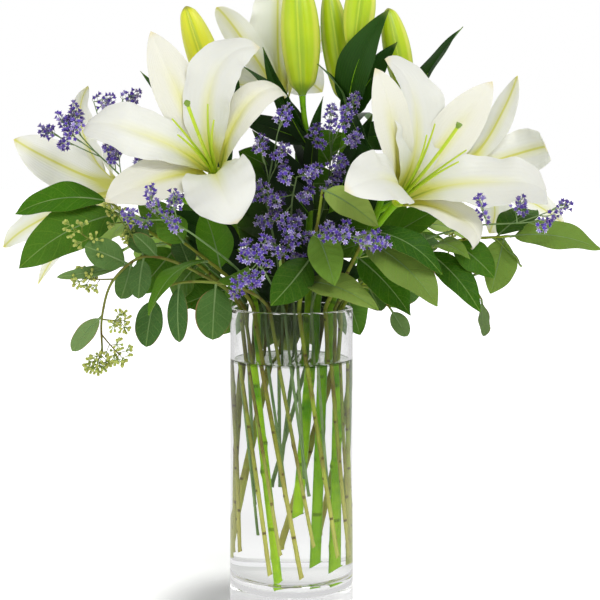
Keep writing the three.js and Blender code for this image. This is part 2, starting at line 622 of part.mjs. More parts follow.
const shallonStems = {
  left: {
    rim: [-42, -6],
    foot: 30,
    way: [[-80, -20, 282], [-118, -32, 308], [-146, -36, 330]],
    leaves: [
      { at: 1, to: [-221, -40, 320], face: [-0.1, -0.7, 0.7], width: 31, bow: 0.12 },
      { at: 0.86, to: [-214, -60, 278], face: [-0.2, -0.85, 0.5], width: 44, bow: 0.12 },
      { at: 0.75, to: [-158, 26, 290], face: [-0.3, 0.3, 0.9], width: 32, bow: 0.1 },
      { at: 0.5, to: [-128, 22, 276], face: [-0.3, 0.2, 0.9], width: 32, bow: 0.1 },
      { at: 0.3, to: [-98, -2, 250], face: [-0.2, -0.7, 0.6], width: 32, bow: 0.08 },
      { at: 0.12, to: [-88, -22, 246], face: [0, -0.9, 0.4], width: 30, bow: 0.03 },
      { at: 0.45, to: [-124, -32, 256], face: [-0.2, -0.9, 0.4], width: 36, bow: 0.03 },
    ],
  },
  right: {
    rim: [41, -11],
    foot: 24,
    way: [[84, -24, 280], [130, -34, 298], [176, -30, 302]],
    leaves: [
      { at: 1, to: [248, -40, 292], face: [0.1, -0.7, 0.7], width: 34, bow: 0.12 },
      { at: 0.97, to: [159, -44, 257], face: [0.3, -0.9, 0.2], width: 32, bow: -0.06 },
      { at: 0.9, to: [188, -14, 276], face: [0.2, -0.4, 0.9], width: 26, bow: 0.05 },
      { at: 0.92, to: [204, 4, 322], face: [0, -0.6, 0.8], width: 28, bow: 0.1 },
      { at: 0.66, to: [161, -48, 270], face: [0.1, -0.8, 0.6], width: 28, bow: 0.06 },
      { at: 0.5, to: [148, -62, 244], face: [0.3, -0.8, 0.5], width: 26, bow: 0.1 },
      { at: 0.55, to: [137, -84, 287], face: [-0.2, -0.7, 0.7], width: 18, bow: 0.14 },
    ],
  },
  front_right: {
    rim: [27, -32],
    foot: 34,
    way: [[42, -50, 270], [52, -66, 292], [58, -76, 308]],
    leaves: [
      { at: 1, to: [114, -96, 276], face: [0.1, -0.6, 0.8], width: 26, bow: 0.16 },
      { at: 0.85, to: [110, -104, 253], face: [0.2, -0.8, 0.6], width: 40, bow: 0.1 },
      { at: 0.6, to: [92, -78, 243], face: [0.2, -0.8, 0.5], width: 34, bow: 0.08 },
    ],
  },
  front: {
    rim: [6, -42],
    foot: 40,
    way: [[14, -58, 280], [20, -66, 312], [24, -72, 340]],
    leaves: [
      { at: 1, to: [66, -92, 312], face: [0, -0.8, 0.6], width: 26, bow: 0.12 },
      { at: 0.62, to: [33, -92, 267], face: [0, -1, 0.2], width: 27, bow: 0.05 },
      { at: 0.2, to: [66, -94, 249], face: [0, -0.7, 0.7], width: 28, bow: 0.16 },
      { at: 0.4, to: [-16, -72, 250], face: [0, -1, 0.3], width: 30, bow: 0.06 },
    ],
  },
  front_left: {
    rim: [-30, -29],
    foot: 28,
    way: [[-46, -46, 266], [-66, -56, 284], [-84, -60, 298]],
    leaves: [
      { at: 0.66, to: [-107, -106, 246], face: [-0.3, -0.3, 0.9], width: 26, bow: 0.16 },
      { at: 0.5, to: [-70, -44, 324], face: [0.2, -0.95, 0.2], width: 30, bow: 0.05 },
      { at: 0.4, to: [-36, -92, 266], face: [0.1, -0.9, 0.4], width: 26, bow: 0.1 },
      { at: 1, to: [-106, -50, 318], face: [-0.1, -0.9, 0.5], width: 26, bow: 0.05 },
    ],
  },
  back_right: {
    rim: [30, 29],
    foot: 36,
    way: [[58, 56, 280], [88, 82, 300], [112, 98, 306]],
    leaves: [
      { at: 1, to: [172, 128, 288], face: [0.2, 0.5, 0.9], width: 34, bow: 0.12 },
      { at: 0.85, to: [128, 150, 268], face: [0.1, 0.8, 0.5], width: 38, bow: 0.1 },
      { at: 0.7, to: [158, 78, 276], face: [0.5, 0, 0.9], width: 32, bow: 0.1 },
      { at: 0.7, to: [28, 66, 281], face: [0, -0.9, 0.1], width: 24, bow: 0.05 },
      { at: 0.45, to: [98, 62, 338], face: [0, -0.9, 0.4], width: 34, bow: 0.06 },
      { at: 0.35, to: [136, 20, 330], face: [-0.2, -0.8, 0.5], width: 30, bow: 0.04 },
      { at: 0.5, to: [66, 132, 262], face: [0, 0.8, 0.6], width: 36, bow: 0.1 },
      { at: 0.3, to: [96, 50, 236], face: [0.2, -0.9, 0.3], width: 34, bow: 0.05 },
      { at: 0.15, to: [60, 60, 212], face: [0.1, -0.9, 0.2], width: 30, bow: 0.04 },
    ],
  },
  back: {
    rim: [-4, 42],
    foot: 30,
    way: [[-8, 58, 286], [-6, 64, 326], [2, 66, 358]],
    leaves: [
      { at: 1, to: [46, 60, 388], face: [0, -0.9, 0.4], width: 34, bow: 0.06 },
      { at: 0.85, to: [-46, 56, 372], face: [-0.1, -0.9, 0.4], width: 36, bow: 0.06 },
      { at: 0.8, to: [46, 60, 344], face: [0.1, -0.9, 0.4], width: 36, bow: 0.06 },
      { at: 0.6, to: [-16, 150, 318], face: [0, 0.6, 0.8], width: 36, bow: 0.12 },
      { at: 0.55, to: [-52, 52, 312], face: [-0.1, -0.9, 0.4], width: 36, bow: 0.08 },
      { at: 0.45, to: [68, 42, 306], face: [0.1, -0.9, 0.4], width: 36, bow: 0.06 },
      { at: 0.3, to: [-10, 140, 262], face: [0, 0.6, 0.8], width: 36, bow: 0.12 },
      { at: 0.3, to: [-46, 46, 280], face: [0, -1, 0.2], width: 30, bow: 0.04 },
      { at: 0.35, to: [-62, 46, 313], face: [-0.3, -0.9, 0.3], width: 27, bow: 0.05 },
      { at: 0.6, to: [43, 73, 321], face: [-0.3, -0.9, 0], width: 31, bow: 0.05 },
      { at: 0.35, to: [-33, 50, 357], face: [0, -0.9, 0.2], width: 34, bow: 0.05 },
      { at: 0.2, to: [38, 64, 254], face: [0, -1, 0.2], width: 32, bow: 0.04 },
      { at: 0.1, to: [52, 66, 222], face: [0, -1, -0.2], width: 30, bow: -0.03 },
      { at: 0.15, to: [-40, 33, 265], face: [0, -1, 0.1], width: 24, bow: 0.03 },
      { at: 0.12, to: [24, 72, 200], face: [0, 1, 0.2], width: 38, bow: 0.06 },
      { at: 0.08, to: [-30, 68, 198], face: [0, 1, 0.2], width: 38, bow: 0.06 },
      { at: 0.14, to: [-4, 76, 188], face: [0, 1, 0.1], width: 34, bow: 0.06 },
    ],
  },
  back_left: {
    rim: [-32, 27],
    foot: 42,
    way: [[-62, 52, 278], [-92, 76, 298], [-116, 90, 306]],
    leaves: [
      { at: 1, to: [-178, 112, 290], face: [-0.2, 0.5, 0.9], width: 34, bow: 0.12 },
      { at: 0.85, to: [-142, 140, 264], face: [-0.1, 0.8, 0.5], width: 36, bow: 0.1 },
      { at: 0.7, to: [-164, 62, 272], face: [-0.5, 0, 0.9], width: 32, bow: 0.1 },
      { at: 0.55, to: [-138, 82, 330], face: [-0.4, -0.9, 0.1], width: 31, bow: 0.05 },
      { at: 0.65, to: [-79, 65, 335], face: [-0.2, -0.9, 0], width: 29, bow: 0.05 },
      { at: 0.5, to: [-84, 126, 254], face: [0, 0.8, 0.6], width: 34, bow: 0.1 },
      { at: 0.35, to: [-98, 50, 234], face: [-0.2, -0.9, 0.3], width: 36, bow: 0.05 },
      { at: 0.15, to: [-62, 56, 212], face: [-0.1, -0.9, 0.2], width: 32, bow: 0.04 },
    ],
  },
};

const eucalyptusStems = {
  left: {
    rim: [-38, -17],
    foot: 46,
    way: [[-72, -40, 272], [-112, -65, 288], [-137, -76, 271], [-146, -78, 243], [-146, -78, 214]],
    leaves: [
      { at: 0.5, to: [-158, -88, 297], face: [-0.1, -0.95, 0.3], width: 24, bow: 0.03 },
      { at: 0.42, to: [-128, -50, 316], face: [0, -0.95, 0.3], width: 20, bow: 0.03 },
      { at: 0.36, to: [-122, -76, 306], face: [-0.2, -0.9, 0.4], width: 13, bow: 0.05 },
      { at: 0.42, to: [-118, -78, 256], face: [0, -1, 0.1], width: 18, bow: 0.03 },
      { at: 0.48, to: [-134, -58, 254], face: [0, -1, 0.1], width: 18, bow: 0.03 },
      { at: 0.8, to: [-169, -80, 216], face: [-0.2, -0.9, 0.3], width: 15, bow: 0.04 },
      { at: 0.24, to: [-92, -22, 300], face: [0.2, -0.9, 0.4], width: 20, bow: 0.03 },
      { at: 0.5, to: [-180, -84, 273], face: [0, -0.9, 0.3], width: 9, bow: 0.03 },
    ],
    tufts: [
      { at: 0.97, to: [-150, -78, 205], count: 5 },
      { at: 0.9, to: [-131, -82, 212], count: 4 },
      { at: 0.82, to: [-130, -84, 240], count: 3 },
      { at: 0.6, to: [-163, -80, 272], count: 4 },
      { at: 0.4, to: [-140, -66, 326], count: 4 },
      { at: 0.5, to: [-168, -86, 312], count: 4 },
    ],
  },
  front_left: {
    rim: [-17, -38],
    foot: 52,
    way: [[-38, -60, 262], [-64, -68, 268], [-90, -70, 267], [-106, -74, 258]],
    leaves: [
      { at: 1, to: [-112, -80, 219], face: [-0.1, -1, 0.1], width: 22, bow: 0.03 },
      { at: 0.72, to: [-86, -84, 223], face: [0, -1, 0.1], width: 16, bow: 0.03 },
      { at: 0.45, to: [-61, -76, 224], face: [0, -1, 0.1], width: 29, bow: 0.03 },
    ],
    tufts: [],
  },
  right: {
    rim: [35, -23],
    foot: 44,
    way: [[54, -42, 262], [68, -54, 258], [78, -64, 246]],
    leaves: [
      { at: 1, to: [90, -70, 226], face: [0.1, -1, 0.1], width: 14, bow: 0.03 },
      { at: 0.75, to: [102, -60, 262], face: [0.1, -0.9, 0.3], width: 20, bow: 0.03 },
      { at: 0.5, to: [70, -70, 246], face: [0, -1, 0.2], width: 18, bow: 0.03 },
    ],
    tufts: [],
  },
  back_right: {
    rim: [40, 12],
    foot: 48,
    way: [[76, 24, 272], [116, 36, 282], [148, 42, 268], [164, 44, 244]],
    leaves: [
      { at: 1, to: [166, 48, 212], face: [0.9, 0.2, 0.3], width: 22, bow: 0.03 },
      { at: 0.8, to: [184, 30, 272], face: [0.6, -0.3, 0.7], width: 24, bow: 0.03 },
      { at: 0.75, to: [150, 76, 252], face: [0.5, 0.5, 0.7], width: 24, bow: 0.03 },
      { at: 0.55, to: [132, 8, 262], face: [0.2, -0.6, 0.7], width: 22, bow: 0.03 },
      { at: 0.5, to: [116, 60, 300], face: [0, 0.5, 0.9], width: 22, bow: 0.03 },
    ],
    tufts: [
      { at: 0.62, to: [150, 92, 322], count: 5 },
    ],
  },
  back_left: {
    rim: [-20, 37],
    foot: 38,
    way: [[-40, 72, 270], [-60, 106, 282], [-74, 136, 270], [-78, 150, 246]],
    leaves: [
      { at: 1, to: [-78, 156, 216], face: [-0.1, 0.9, 0.3], width: 24, bow: 0.03 },
      { at: 0.8, to: [-106, 156, 262], face: [-0.4, 0.7, 0.6], width: 24, bow: 0.03 },
      { at: 0.8, to: [-44, 160, 258], face: [0.3, 0.7, 0.6], width: 24, bow: 0.03 },
      { at: 0.5, to: [-100, 112, 296], face: [-0.4, 0.4, 0.8], width: 24, bow: 0.03 },
    ],
    tufts: [{ at: 0.98, to: [-96, 164, 236], count: 4 }],
  },
};

const lavenderSprays = {
  far_left: {
    rim: [-38, 4],
    foot: 60,
    way: [[-74, 4, 280], [-112, 0, 318], [-140, -8, 350], [-160, -16, 370]],
    twigs: [
      { at: 1, from: [-178, -24, 384], to: [-190, -30, 402] },
      { at: 1, from: [-176, -20, 388], to: [-177, -22, 412] },
      { at: 0.95, from: [-192, -24, 384], to: [-204, -28, 388], width: 11 },
      { at: 0.8, from: [-143, -18, 376], to: [-148, -20, 388], width: 11 },
      { at: 0.75, from: [-140, -22, 364], to: [-146, -24, 372], width: 10 },
      { at: 0.7, from: [-124, -20, 362], to: [-118, -22, 370], width: 10 },
      { at: 0.85, from: [-164, 0, 412], to: [-146, 0, 416], width: 12 },
      { at: 0.85, from: [-140, 0, 414], to: [-124, 0, 420], width: 12 },
    ],
  },
  left: {
    rim: [-22, -20],
    foot: 88,
    way: [[-42, -52, 276], [-72, -90, 304], [-92, -108, 318]],
    twigs: [
      { at: 1, from: [-112, -116, 318], to: [-126, -120, 322] },
      { at: 1, from: [-102, -114, 328], to: [-106, -116, 338], width: 12 },
      { at: 0.9, from: [-88, -112, 326], to: [-88, -114, 342], width: 12 },
      { at: 0.8, from: [-84, -108, 312], to: [-92, -112, 318], width: 11 },
    ],
  },
  centre: {
    rim: [-8, 4],
    foot: 96,
    way: [[-12, -18, 285], [-19, -41, 334], [-12, -42, 380]],
    twigs: [
      { at: 1, from: [-8, -54, 391], to: [-4, -57, 404] },
      { at: 0.75, from: [-24, -46, 370], to: [-26, -48, 384] },
      { at: 0.75, from: [-8, -48, 366], to: [-6, -50, 376], width: 11 },
      { at: 0.6, from: [-26, -46, 344], to: [-35, -49, 341], width: 12 },
      { at: 0.5, from: [-12, -30, 322], to: [-9, -34, 336], width: 12 },
    ],
  },
  middle: {
    rim: [2, -14],
    foot: 104,
    way: [[2, -30, 285], [0, -48, 325], [4, -56, 350]],
    twigs: [
      { at: 1, from: [8, -60, 350], to: [20, -64, 356], width: 14 },
      { at: 0.9, from: [-4, -60, 346], to: [-6, -64, 358], width: 13 },
      { at: 0.8, from: [8, -58, 330], to: [15, -62, 340], width: 12 },
      { at: 0.8, from: [-14, -60, 334], to: [-24, -66, 340], width: 14 },
      { at: 0.7, from: [-12, -62, 316], to: [-22, -70, 314], width: 14 },
      { at: 0.6, from: [-4, -66, 290], to: [-14, -74, 292], width: 13 },
      { at: 0.65, from: [-2, -66, 304], to: [4, -74, 302], width: 13 },
      { at: 0.6, from: [2, -56, 308], to: [7, -60, 320], width: 12 },
      { at: 0.4, from: [4, -46, 276], to: [6, -48, 286], width: 11 },
    ],
  },
  front_left: {
    rim: [-6, -30],
    foot: 92,
    way: [[-18, -62, 270], [-28, -92, 288]],
    twigs: [
      { at: 1, from: [-34, -98, 286], to: [-34, -104, 298] },
      { at: 1, from: [-26, -98, 290], to: [-22, -104, 298], width: 12 },
      { at: 0.9, from: [-38, -96, 274], to: [-42, -102, 264] },
      { at: 0.85, from: [-28, -96, 272], to: [-24, -104, 276], width: 12 },
    ],
  },
  front_right: {
    rim: [16, -26],
    foot: 84,
    way: [[26, -46, 272], [38, -64, 298], [41, -96, 306]],
    twigs: [
      { at: 1, from: [50, -106, 304], to: [58, -110, 304], width: 12 },
      { at: 1, from: [58, -108, 298], to: [70, -112, 300], width: 12 },
      { at: 0.9, from: [34, -102, 306], to: [42, -106, 310], width: 12 },
      { at: 0.85, from: [20, -98, 304], to: [28, -104, 310], width: 12 },
    ],
  },
  top: {
    rim: [5, 20],
    foot: 110,
    way: [[12, 24, 285], [28, 16, 330], [34, -22, 385]],
    twigs: [
      { at: 1, from: [46, -34, 402], to: [54, -38, 418], width: 14 },
      { at: 0.95, from: [40, -38, 392], to: [46, -40, 402], width: 12 },
      { at: 0.85, from: [18, -26, 380], to: [20, -30, 390], width: 13 },
      { at: 0.9, from: [30, -34, 396], to: [33, -38, 407], width: 12 },
      { at: 0.9, from: [46, -34, 376], to: [54, -38, 384], width: 12 },
      { at: 0.75, from: [32, -38, 356], to: [43, -44, 366], width: 14 },
      { at: 0.7, from: [26, -36, 338], to: [35, -42, 346], width: 13 },
    ],
  },
  right: {
    rim: [43, 0],
    foot: 76,
    way: [[92, -12, 290], [140, -34, 309], [176, -66, 314]],
    twigs: [
      { at: 1, from: [172, -80, 324], to: [179, -84, 332], width: 10 },
      { at: 1, from: [205, -72, 325], to: [218, -72, 328], width: 9 },
      { at: 0.8, from: [146, -92, 322], to: [142, -98, 332], width: 10 },
      { at: 1, from: [190, -72, 316], to: [200, -74, 312], width: 9 },
    ],
  },
  back_right: {
    rim: [16, 38],
    foot: 90,
    way: [[30, 72, 300], [44, 104, 340], [50, 120, 366]],
    twigs: [
      { at: 1, from: [54, 128, 372], to: [58, 134, 386] },
      { at: 1, from: [44, 130, 368], to: [40, 138, 376] },
      { at: 0.9, from: [64, 122, 354], to: [74, 130, 360] },
      { at: 0.8, from: [34, 120, 338], to: [28, 132, 342] },
      { at: 0.7, from: [56, 112, 322], to: [66, 122, 324] },
    ],
  },
  back_left: {
    rim: [-26, 14],
    foot: 82,
    way: [[-48, 50, 292], [-74, 90, 330], [-86, 110, 352]],
    twigs: [
      { at: 1, from: [-90, 118, 360], to: [-94, 124, 374] },
      { at: 1, from: [-98, 116, 352], to: [-108, 122, 356] },
      { at: 0.9, from: [-78, 116, 342], to: [-74, 128, 346] },
      { at: 0.8, from: [-96, 104, 328], to: [-108, 112, 330] },
    ],
  },
};

// The glass is one turned piece with a thick floor. Its foot is flat inside a small rounding.
function vaseSolid() {
  const { radius, height, wall, floor, foot, lip, sides } = vase;
  const inner = radius - wall;
  const profile = [
    [0, 0],
    [radius - foot, 0],
    [radius, foot],
    [radius, height - lip],
    [radius - wall / 2, height],
    [inner, height - lip],
    [inner, floor + foot],
    [inner - foot, floor],
    [0, floor],
  ];
  const turned = new THREE.LatheGeometry(profile.map((xy) => new THREE.Vector2(...xy)), sides);
  return solid(turned.rotateX(Math.PI / 2));
}

// The water, with a plain hole for each stem that stands in it.
function waterSolid(stems) {
  const inner = vase.radius - vase.wall - water.gap;
  const low = vase.floor + water.gap;
  const profile = [
    [0, low],
    [inner - vase.foot, low],
    [inner, low + vase.foot],
    [inner, water.level],
    [0, water.level],
  ];
  const turned = new THREE.LatheGeometry(profile.map((xy) => new THREE.Vector2(...xy)), water.sides);
  const bulk = solid(turned.rotateX(Math.PI / 2));
  const holes = stems.map(({ stem, kind }) => {
    const radius = kind.radius + hole.clearance;
    const ends = [inVase(stem.rim, stem.foot - hole.clearance), inVase(stem.rim, water.level + 5)];
    return rod(ends, [radius, radius], kind.sides);
  });
  return bulk.subtract(fuse(holes));
}

function lilyStemSolid(stem) {
  const place = upper(stem);
  const parts = [stemRod(stem, stemKinds.lily)];
  for (const leaf of stem.leaves) parts.push(leafOn(place(leaf.at), leaf, leafKinds.lily));
  for (const { at, name } of stem.buds) {
    const { from, to } = buds[name];
    const dir = V(...to).sub(V(...from)).normalize();
    parts.push(stalk(place(at), along(V(...from), dir, -seat), dir, 2.3, 3, 5));
  }
  for (const { at, name } of stem.blooms) {
    const { w } = axesOf(blooms[name]);
    const end = along(V(...blooms[name].at), w, -receptacle.back - seat);
    parts.push(stalk(place(at), end, w, 2.6, 3, 5));
  }
  return fuse(parts);
}

const stands = [
  [lilyStems, stemKinds.lily],
  [shallonStems, stemKinds.shallon],
  [eucalyptusStems, stemKinds.eucalyptus],
  [lavenderSprays, stemKinds.lavender],
].flatMap(([stems, kind]) => Object.values(stems).map((stem) => ({ stem, kind })));

add("vase", vaseSolid(), colours.glass, 0.05, { transparent: true, opacity: 0.35 });
add("water", waterSolid(stands), colours.water, 0.02, { transparent: true, opacity: 0.3 });
for (const [name, stem] of Object.entries(lilyStems)) {
  add(`lily_stem_${name}`, lilyStemSolid(stem), colours.lilyGreen, 0.5);
}
for (const [name, bloom] of Object.entries(blooms)) {
  add(`lily_bloom_${name}`, bloomSolid(bloom), colours.petal, 0.55);
  add(`lily_pistil_${name}`, heartSolid(bloom), colours.filament, 0.5);
}
for (const [name, bud] of Object.entries(buds)) {
  add(`lily_bud_${name}`, budSolid(bud), colours.bud, 0.5);
}
for (const [name, stem] of Object.entries(shallonStems)) {
  add(`shallon_${name}`, leafySolid(stem, stemKinds.shallon, leafKinds.shallon), colours.shallon, 0.4);
}
for (const [name, stem] of Object.entries(eucalyptusStems)) {
  add(`eucalyptus_${name}`, leafySolid(stem, stemKinds.eucalyptus, leafKinds.round), colours.eucalyptus, 0.6);
}
for (const [name, spray] of Object.entries(lavenderSprays)) {
  add(`sea_lavender_${name}`, lavenderSolid(spray), colours.lavender, 0.8);
}

export default group;
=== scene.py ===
# Lilies in a glass vase. Every piece below is given in millimetres and built in metres, where the
# fixed frame has it: +Z is up, -Y is the front, and the vase stands on the floor at the origin.
import math
import random

import bpy
import numpy as np
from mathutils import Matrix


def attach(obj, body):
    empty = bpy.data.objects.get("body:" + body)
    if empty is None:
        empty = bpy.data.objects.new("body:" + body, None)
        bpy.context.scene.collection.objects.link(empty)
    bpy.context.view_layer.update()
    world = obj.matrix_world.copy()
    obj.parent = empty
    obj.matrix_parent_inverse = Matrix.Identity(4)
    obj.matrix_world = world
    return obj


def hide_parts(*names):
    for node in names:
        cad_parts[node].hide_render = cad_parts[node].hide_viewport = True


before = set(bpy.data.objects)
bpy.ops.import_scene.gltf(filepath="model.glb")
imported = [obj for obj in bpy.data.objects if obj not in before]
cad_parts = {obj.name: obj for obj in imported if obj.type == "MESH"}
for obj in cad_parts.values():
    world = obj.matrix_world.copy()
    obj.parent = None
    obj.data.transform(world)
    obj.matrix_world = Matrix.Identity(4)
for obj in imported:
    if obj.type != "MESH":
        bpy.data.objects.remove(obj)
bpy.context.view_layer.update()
mm = 0.001


# Camera: level, a little over a metre in front, with the lens shifted down to the vase.
cameraView = dict(distance=1120, height=351.4, focal=81.06, sensor=36, shiftX=0.0142, shiftY=-0.2083)

lens = bpy.data.cameras.new("lens")
lens.lens = cameraView["focal"]
lens.sensor_width = cameraView["sensor"]
lens.shift_x = cameraView["shiftX"]
lens.shift_y = cameraView["shiftY"]
lens.clip_start = 0.05
camera = bpy.data.objects.new("camera", lens)
camera.location = (0, -cameraView["distance"] * mm, cameraView["height"] * mm)
camera.rotation_euler = (math.radians(90), 0, 0)
bpy.context.collection.objects.link(camera)
bpy.context.scene.camera = camera
print("camera placed")


def tint(red, green, blue):  # a colour given as 0 to 255, as the shaders want it
    def linear(c):
        c /= 255
        return c / 12.92 if c <= 0.04045 else ((c + 0.055) / 1.055) ** 2.4
    return (linear(red), linear(green), linear(blue), 1)


def grey(value):
    return (value, value, value, 1)


class Link:  # a shader socket that takes part in plain sums
    def __init__(self, nodes, socket):
        self.nodes = nodes
        self.socket = socket

    def __add__(self, other):
        return self.nodes.maths("ADD", self, other)

    def __radd__(self, other):
        return self.nodes.maths("ADD", other, self)

    def __sub__(self, other):
        return self.nodes.maths("SUBTRACT", self, other)

    def __rsub__(self, other):
        return self.nodes.maths("SUBTRACT", other, self)

    def __mul__(self, other):
        return self.nodes.maths("MULTIPLY", self, other)

    def __rmul__(self, other):
        return self.nodes.maths("MULTIPLY", other, self)

    def __truediv__(self, other):
        return self.nodes.maths("DIVIDE", self, other)


class NodeTree:  # the nodes of a material or of the room
    def __init__(self, tree):
        self.tree = tree

    def node(self, kind, settings={}, inputs={}, output=0):
        made = self.tree.nodes.new(kind)
        for label, value in settings.items():
            setattr(made, label, value)
        for label, value in inputs.items():
            self.feed(made.inputs[label], value)
        return Link(self, made.outputs[output])

    def feed(self, socket, value):
        if isinstance(value, Link):
            self.tree.links.new(value.socket, socket)
        else:
            socket.default_value = value

    def maths(self, operation, *values):
        return self.node("ShaderNodeMath", {"operation": operation}, dict(enumerate(values)))

    def ray(self, output):
        return self.node("ShaderNodeLightPath", output=output)

    def after(self, bounce):  # 1 once the light's path has had such a bounce, 0 before it
        return self.maths("MINIMUM", self.ray(bounce + " Depth"), 1.0)


# Where little light comes, shade is painted into the colours: the heart of the bunch and the vase's neck.
# Each is a rounded box, in metres. darkEdge says how far out its painted shade is full and where it ends, as
# shares of the box.
darkPlaces = [
    dict(centre=(0, 0.006, 0.306), size=(0.074, 0.084, 0.105)),
    dict(centre=(0, 0.03, 0.232), size=(0.06, 0.075, 0.05)),
]
darkEdge = (0.6, 1.15)


class Paint(NodeTree):  # a material, and the nodes that feed it
    def __init__(self, name, **settings):
        self.material = bpy.data.materials.new(name)
        self.material.use_nodes = True
        super().__init__(self.material.node_tree)
        self.shader = self.tree.nodes["Principled BSDF"]
        for label, value in settings.items():
            self.shader.inputs[label.replace("_", " ")].default_value = value

    def use(self, label, value):
        self.feed(self.shader.inputs[label], value)

    def mark(self, name):
        return self.node("ShaderNodeAttribute", {"attribute_name": name}, output="Fac")

    def between(self, value, low, high):  # 0 below low, 1 above high, smooth from one to the other
        inputs = {"Value": value, "From Min": low, "From Max": high}
        return self.node("ShaderNodeMapRange", {"interpolation_type": "SMOOTHSTEP"}, inputs)

    def blend(self, first, second, share):  # 6, 7 and 2 are the colour sockets of the mix node
        return self.node("ShaderNodeMix", {"data_type": "RGBA"}, {0: share, 6: first, 7: second}, 2)

    def vector(self, operation, *values, output=0):
        return self.node("ShaderNodeVectorMath", {"operation": operation}, dict(enumerate(values)), output)

    def place(self):
        return self.node("ShaderNodeTexCoord", output="Object")

    def noise(self, scale, detail=3):
        inputs = {"Vector": self.place(), "Scale": scale, "Detail": detail}
        return self.node("ShaderNodeTexNoise", {}, inputs)

    def apart(self, centre, size):  # 0 at a centre, 1 where a rounded box of this half size would end
        offset = self.vector("SUBTRACT", self.place(), centre)
        return self.vector("LENGTH", self.vector("DIVIDE", offset, size), output="Value")

    def paintedShade(self):  # how much painted shade: 1 where little light comes, 0 elsewhere
        places = [1 - self.between(self.apart(**dark), *darkEdge) for dark in darkPlaces]
        return self.maths("MAXIMUM", *places)

    def passLight(self, bounces=4.5):  # lamps shine through it, and what is caught inside gets out
        caught = self.maths("GREATER_THAN", self.ray("Ray Depth"), bounces)
        self.mixWithClear(self.maths("MAXIMUM", self.ray("Is Shadow Ray"), caught))

    def unmirrored(self):  # shiny surfaces see past it to the dim room
        self.mixWithClear(self.after("Glossy"))

    def mixWithClear(self, share):
        clear = self.node("ShaderNodeBsdfTransparent")
        body = Link(self, self.shader.outputs[0])
        either = self.node("ShaderNodeMixShader", {}, {0: share, 1: body, 2: clear})
        self.tree.links.new(either.socket, self.tree.nodes["Material Output"].inputs["Surface"])

    def bump(self, height, strength, depth):
        inputs = {"Height": height, "Strength": strength, "Distance": depth * mm}
        self.use("Normal", self.node("ShaderNodeBump", {}, inputs))


class Growth:  # the points and faces of one piece, with the marks that its materials read
    labels = ("along", "across", "reach", "side", "seed")

    def __init__(self):
        self.points = []
        self.faces = []
        self.finishes = []
        self.marks = []
        self.count = 0

    def add(self, points, faces, finish=0, **marks):  # finish is the number of one of its paints
        points = np.asarray(points, float).reshape(-1, 3)
        self.points.append(points)
        self.faces += [[corner + self.count for corner in face] for face in faces]
        self.finishes += [finish] * len(faces)
        flat = [np.broadcast_to(np.ravel(marks.get(label, 0.0)), len(points)) for label in self.labels]
        self.marks.append(np.column_stack(flat))
        self.count += len(points)

    def piece(self, name, node, paints, crease=48):
        mesh = bpy.data.meshes.new(name)
        mesh.from_pydata((np.concatenate(self.points) * mm).tolist(), [], self.faces)
        mesh.polygons.foreach_set("material_index", self.finishes)
        marks = np.concatenate(self.marks)
        for column, label in enumerate(self.labels):
            values = mesh.attributes.new(label, "FLOAT", "POINT").data
            values.foreach_set("value", marks[:, column].astype(np.float32))
        for paint in paints:
            mesh.materials.append(paint.material)
        mesh.shade_smooth()
        mesh.set_sharp_from_angle(angle=math.radians(crease))
        made = bpy.data.objects.new(name, mesh)
        bpy.context.collection.objects.link(made)
        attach(made, "root")
        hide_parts(node)


fullTurn = 6.28  # for random turns
goldenTurn = 137.5  # degrees from one floret or seed case to the next round their stalk


def unit(v):
    v = np.asarray(v, float)
    return v / np.linalg.norm(v, axis=-1, keepdims=True)

def squareTo(v, other):  # the unit way at right angles to both
    return unit(np.cross(v, other))


def spun(v, axis, angle):  # v turned round a unit axis
    turn = np.asarray(angle, float)[..., None]
    dot = (v * axis).sum(-1, keepdims=True)
    return v * np.cos(turn) + np.cross(axis, v) * np.sin(turn) + axis * dot * (1 - np.cos(turn))


def smooth(x):
    x = np.clip(x, 0, 1)
    return x * x * (3 - 2 * x)


def outline(s, rise, fall):  # a share of the full width: 0 at both ends, 1 where it is widest
    widest = rise / (rise + fall)
    s = np.clip(s, 0, 1)
    return (s**rise * (1 - s) ** fall) / (widest**rise * (1 - widest) ** fall)


def gridFaces(rows, columns, first=0, flip=False):  # between rows of points
    faces = []
    for i in range(rows - 1):
        for j in range(columns - 1):
            a = first + i * columns + j
            face = (a, a + columns, a + columns + 1, a + 1)
            faces.append(face[::-1] if flip else face)
    return faces


def tubeFaces(rings, sides):  # the wall between rings of points, and a cap at each end
    faces = []
    for i in range(rings - 1):
        for j in range(sides):
            a, b = i * sides + j, i * sides + (j + 1) % sides
            faces.append((a, b, b + sides, a + sides))
    last = (rings - 1) * sides
    return faces + [tuple(range(sides))[::-1], tuple(range(last, last + sides))]


def ringAngles(sides):
    return np.arange(sides) * 2 * math.pi / sides


def lengthsAlong(points):
    return np.concatenate([[0], np.cumsum(np.linalg.norm(np.diff(points, axis=0), axis=1))])


def quadratic(a, b, c, count):
    t = np.linspace(0, 1, count)[:, None]
    return (1 - t) ** 2 * a + 2 * t * (1 - t) * b + t**2 * c


# A thin closed blade on a row of frames, thinner at its rim. lift says how far each point of it
# stands off the flat frame. The mark side is above 0 on its upper face and below 0 under it, and
# its size is 1 and a share that says how pale the blade is. To either side of its middle a blade
# is at least half wide, and where it is narrower than flat, its thickness follows the frame.
bladeLeast = dict(half=0.2, flat=0.6, length=1e-6)


